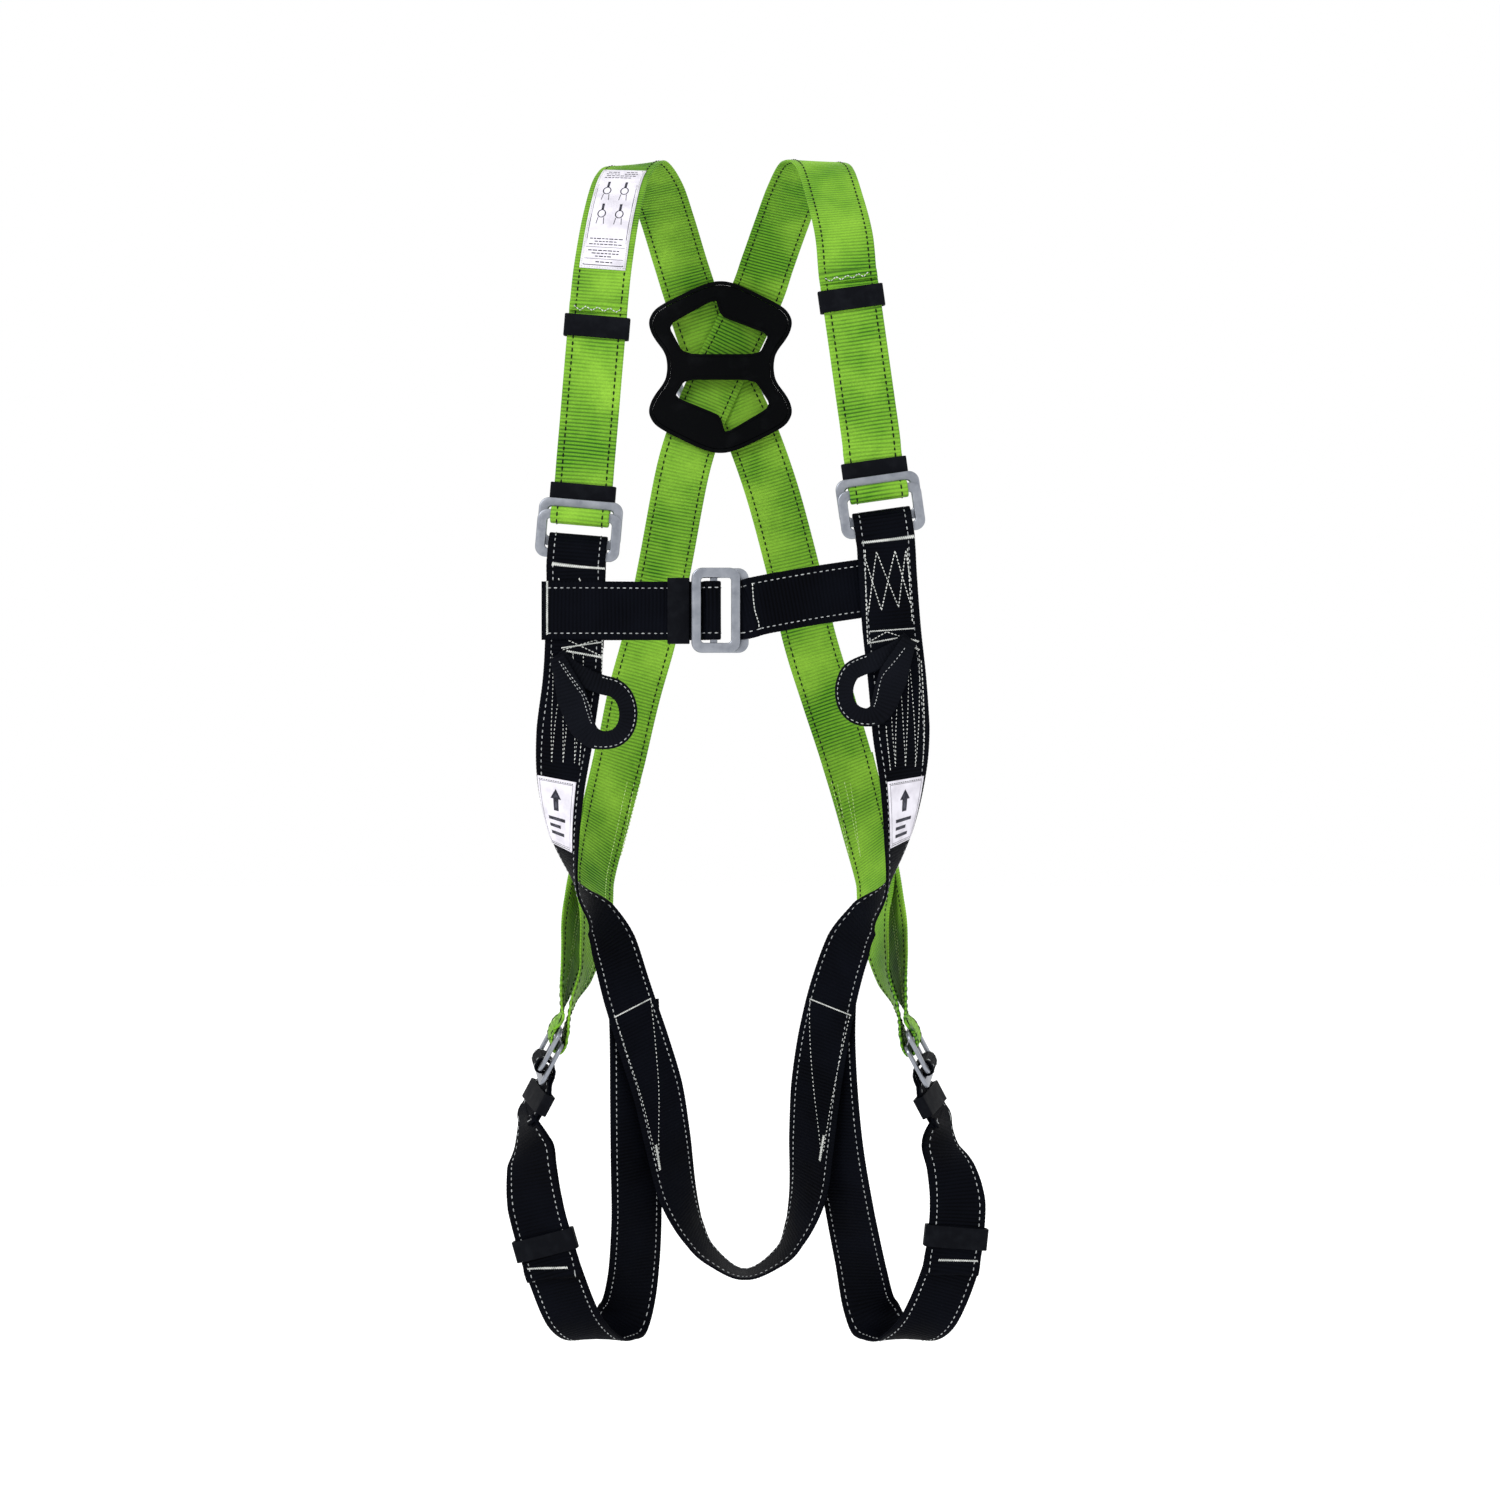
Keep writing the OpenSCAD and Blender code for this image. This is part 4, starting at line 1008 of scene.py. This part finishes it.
# The ring: one closed round bar, straight where it lies behind the crossed straps
RING_AXIS, RING_HALF, RING_ARM, RING_LEAN, RING_R = np.array([-13, 116.8, -153]), 37, 10, 44, 3.9
lean_c, lean_s = turned(RING_LEAN)
down = np.array([0, lean_s, -lean_c])
CORNER = 5


def arc(x, d, r, start, end, count):
    return [(x + r * turned(a)[0], d + r * turned(a)[1]) for a in np.linspace(start, end, count)]


flat = (arc(0, RING_ARM, RING_HALF, 180, 0, 32) + arc(RING_HALF - CORNER, CORNER, CORNER, 0, -90, 7)
    + arc(CORNER - RING_HALF, CORNER, CORNER, 270, 180, 7))
ring_path = [RING_AXIS + x * np.array([1.0, 0, 0]) + d * down for x, d in flat]
points, faces = tube(ring_path, np.cross([1.0, 0, 0], down), RING_R)
piece("steel_dorsal_ring", points, faces, steel, "dorsal_ring", ["dorsal_ring"])

# ---------- Dorsal plate ----------

PLATE_Y, PLATE_CENTRE = 110.2, (-13, -153)
plate_half = [[9, 69.5], [45, 52], [54, 46], [58, 38], [55, 28], [43.5, 13], [41.5, 0],
    [43.5, -13], [55, -28], [58, -38], [54, -46], [45, -52], [9, -69.5]]
upper_window = [[-44.5, 36], [-4, 58], [-1, 47], [3, 42], [41, 28], [33, 11], [-31, 11]]
lower_window = [[43, -33], [4, -56], [1, -45], [-2, -40], [-39, -25], [-30, -10.5], [29, -10.5]]


def softened(points, cuts=3, share=0.22):
    """A closed outline with its corners cut away again and again."""
    p = np.array(points, float)
    for _ in range(cuts):
        after = np.roll(p, -1, 0)
        p = np.stack([p + share * (after - p), after - share * (after - p)], 1).reshape(-1, 2)
    return p


def moved_out(line, gap):
    """A closed outline moved outwards by a gap, whichever way it runs."""
    after, before = np.roll(line, -1, 0), np.roll(line, 1, 0)
    t = after - before
    t /= np.linalg.norm(t, axis=1, keepdims=True)
    area = np.sum(line[:, 0] * after[:, 1] - after[:, 0] * line[:, 1])
    return line + math.copysign(gap, area) * np.stack([t[:, 1], -t[:, 0]], -1)


def plate_mesh(name, outlines, thick, bevel):
    """A flat plate with rounded edges from an outline and its windows, standing in X and Z."""
    data = bpy.data.curves.new(name, "CURVE")
    data.dimensions, data.fill_mode = "2D", "BOTH"
    data.extrude, data.bevel_depth, data.offset, data.bevel_resolution = thick / 2 - bevel, bevel, -bevel, 3
    for line in outlines:
        spline = data.splines.new("POLY")
        spline.points.add(len(line) - 1)
        spline.points.foreach_set("co", np.array([[x, y, 0, 1] for x, y in line]).ravel())
        spline.use_cyclic_u = True
    obj = bpy.data.objects.new(name, data)
    bpy.context.scene.collection.objects.link(obj)
    bpy.context.view_layer.update()
    mesh = bpy.data.meshes.new_from_object(obj.evaluated_get(bpy.context.evaluated_depsgraph_get()))
    points = np.array([v.co for v in mesh.vertices])
    faces = [list(p.vertices) for p in mesh.polygons]
    bpy.data.objects.remove(obj)
    bpy.data.meshes.remove(mesh)
    return points, faces


plate_outline = softened(plate_half + [[-x, y] for x, y in backwards(plate_half)])
windows = [softened(w, 2, 0.12) for w in (upper_window, lower_window)]
flat_parts = [(*plate_mesh("plate", [plate_outline, *windows], 3.4, 0.8), 0.0)]
for line, gap in [(plate_outline, -3.2)] + [(w, 2.2) for w in windows]:
    rim = [line, moved_out(line, gap)]
    flat_parts.append((*plate_mesh("rim", rim, 1.7, 0.5), 1.55))
points, faces, _ = joined([(p + np.array([0, 0, rise]), f, p[:, :2]) for p, f, rise in flat_parts])
x, z, out = points.T
points = np.stack([x + PLATE_CENTRE[0], PLATE_Y - out, z + PLATE_CENTRE[1]], -1)
piece("dorsal_plate_moulding", points, faces, plastic, nodes=["dorsal_plate"],
    smooth=False)

# ---------- Stage, lights and camera ----------

camera = bpy.data.objects.new("camera", bpy.data.cameras.new("camera"))
camera.data.lens, camera.data.sensor_width = 68.6, 36
camera.location = (0.012, -2.310, -0.477)
camera.rotation_euler = (math.radians(90), 0, 0)
bpy.context.scene.collection.objects.link(camera)
bpy.context.scene.camera = camera

floor_mesh = bpy.data.meshes.new("floor")
floor_mesh.from_pydata([(-9, -9, -1.02), (9, -9, -1.02), (9, 9, -1.02), (-9, 9, -1.02)], [], [(0, 1, 2, 3)])
floor = bpy.data.objects.new("floor", floor_mesh)
paint = Nodes("floor_paint", Specular_IOR_Level=0.1, Emission_Color=grey(1), Emission_Strength=0.22)
floor_mesh.materials.append(paint.finish(paint.mix(paint.noise(0.6), grey(0.86), grey(0.9)), 0.9))
bpy.context.scene.collection.objects.link(floor)

world = bpy.data.worlds.new("studio")
bpy.context.scene.world = world
world.use_nodes = True
world.node_tree.nodes["Background"].inputs[0].default_value = (1, 1, 1, 1)
world.node_tree.nodes["Background"].inputs[1].default_value = 1.0
for name, place, size, power in (("key", (-1.5, -2.0, 1.1), 1.0, 40), ("fill", (1.6, -1.9, 0.1), 1.6, 6),
        ("back", (0.4, 2.2, 0.8), 1.6, 18)):
    lamp = bpy.data.lights.new(name, "AREA")
    lamp.size, lamp.energy = size, power
    lamp_object = bpy.data.objects.new(name, lamp)
    lamp_object.location = place
    aim = Vector((0, 0, -0.45)) - Vector(place)
    lamp_object.rotation_euler = aim.to_track_quat("-Z", "Y").to_euler()
    bpy.context.scene.collection.objects.link(lamp_object)
bpy.context.scene.view_settings.view_transform = "Standard"

bpy.context.view_layer.update()
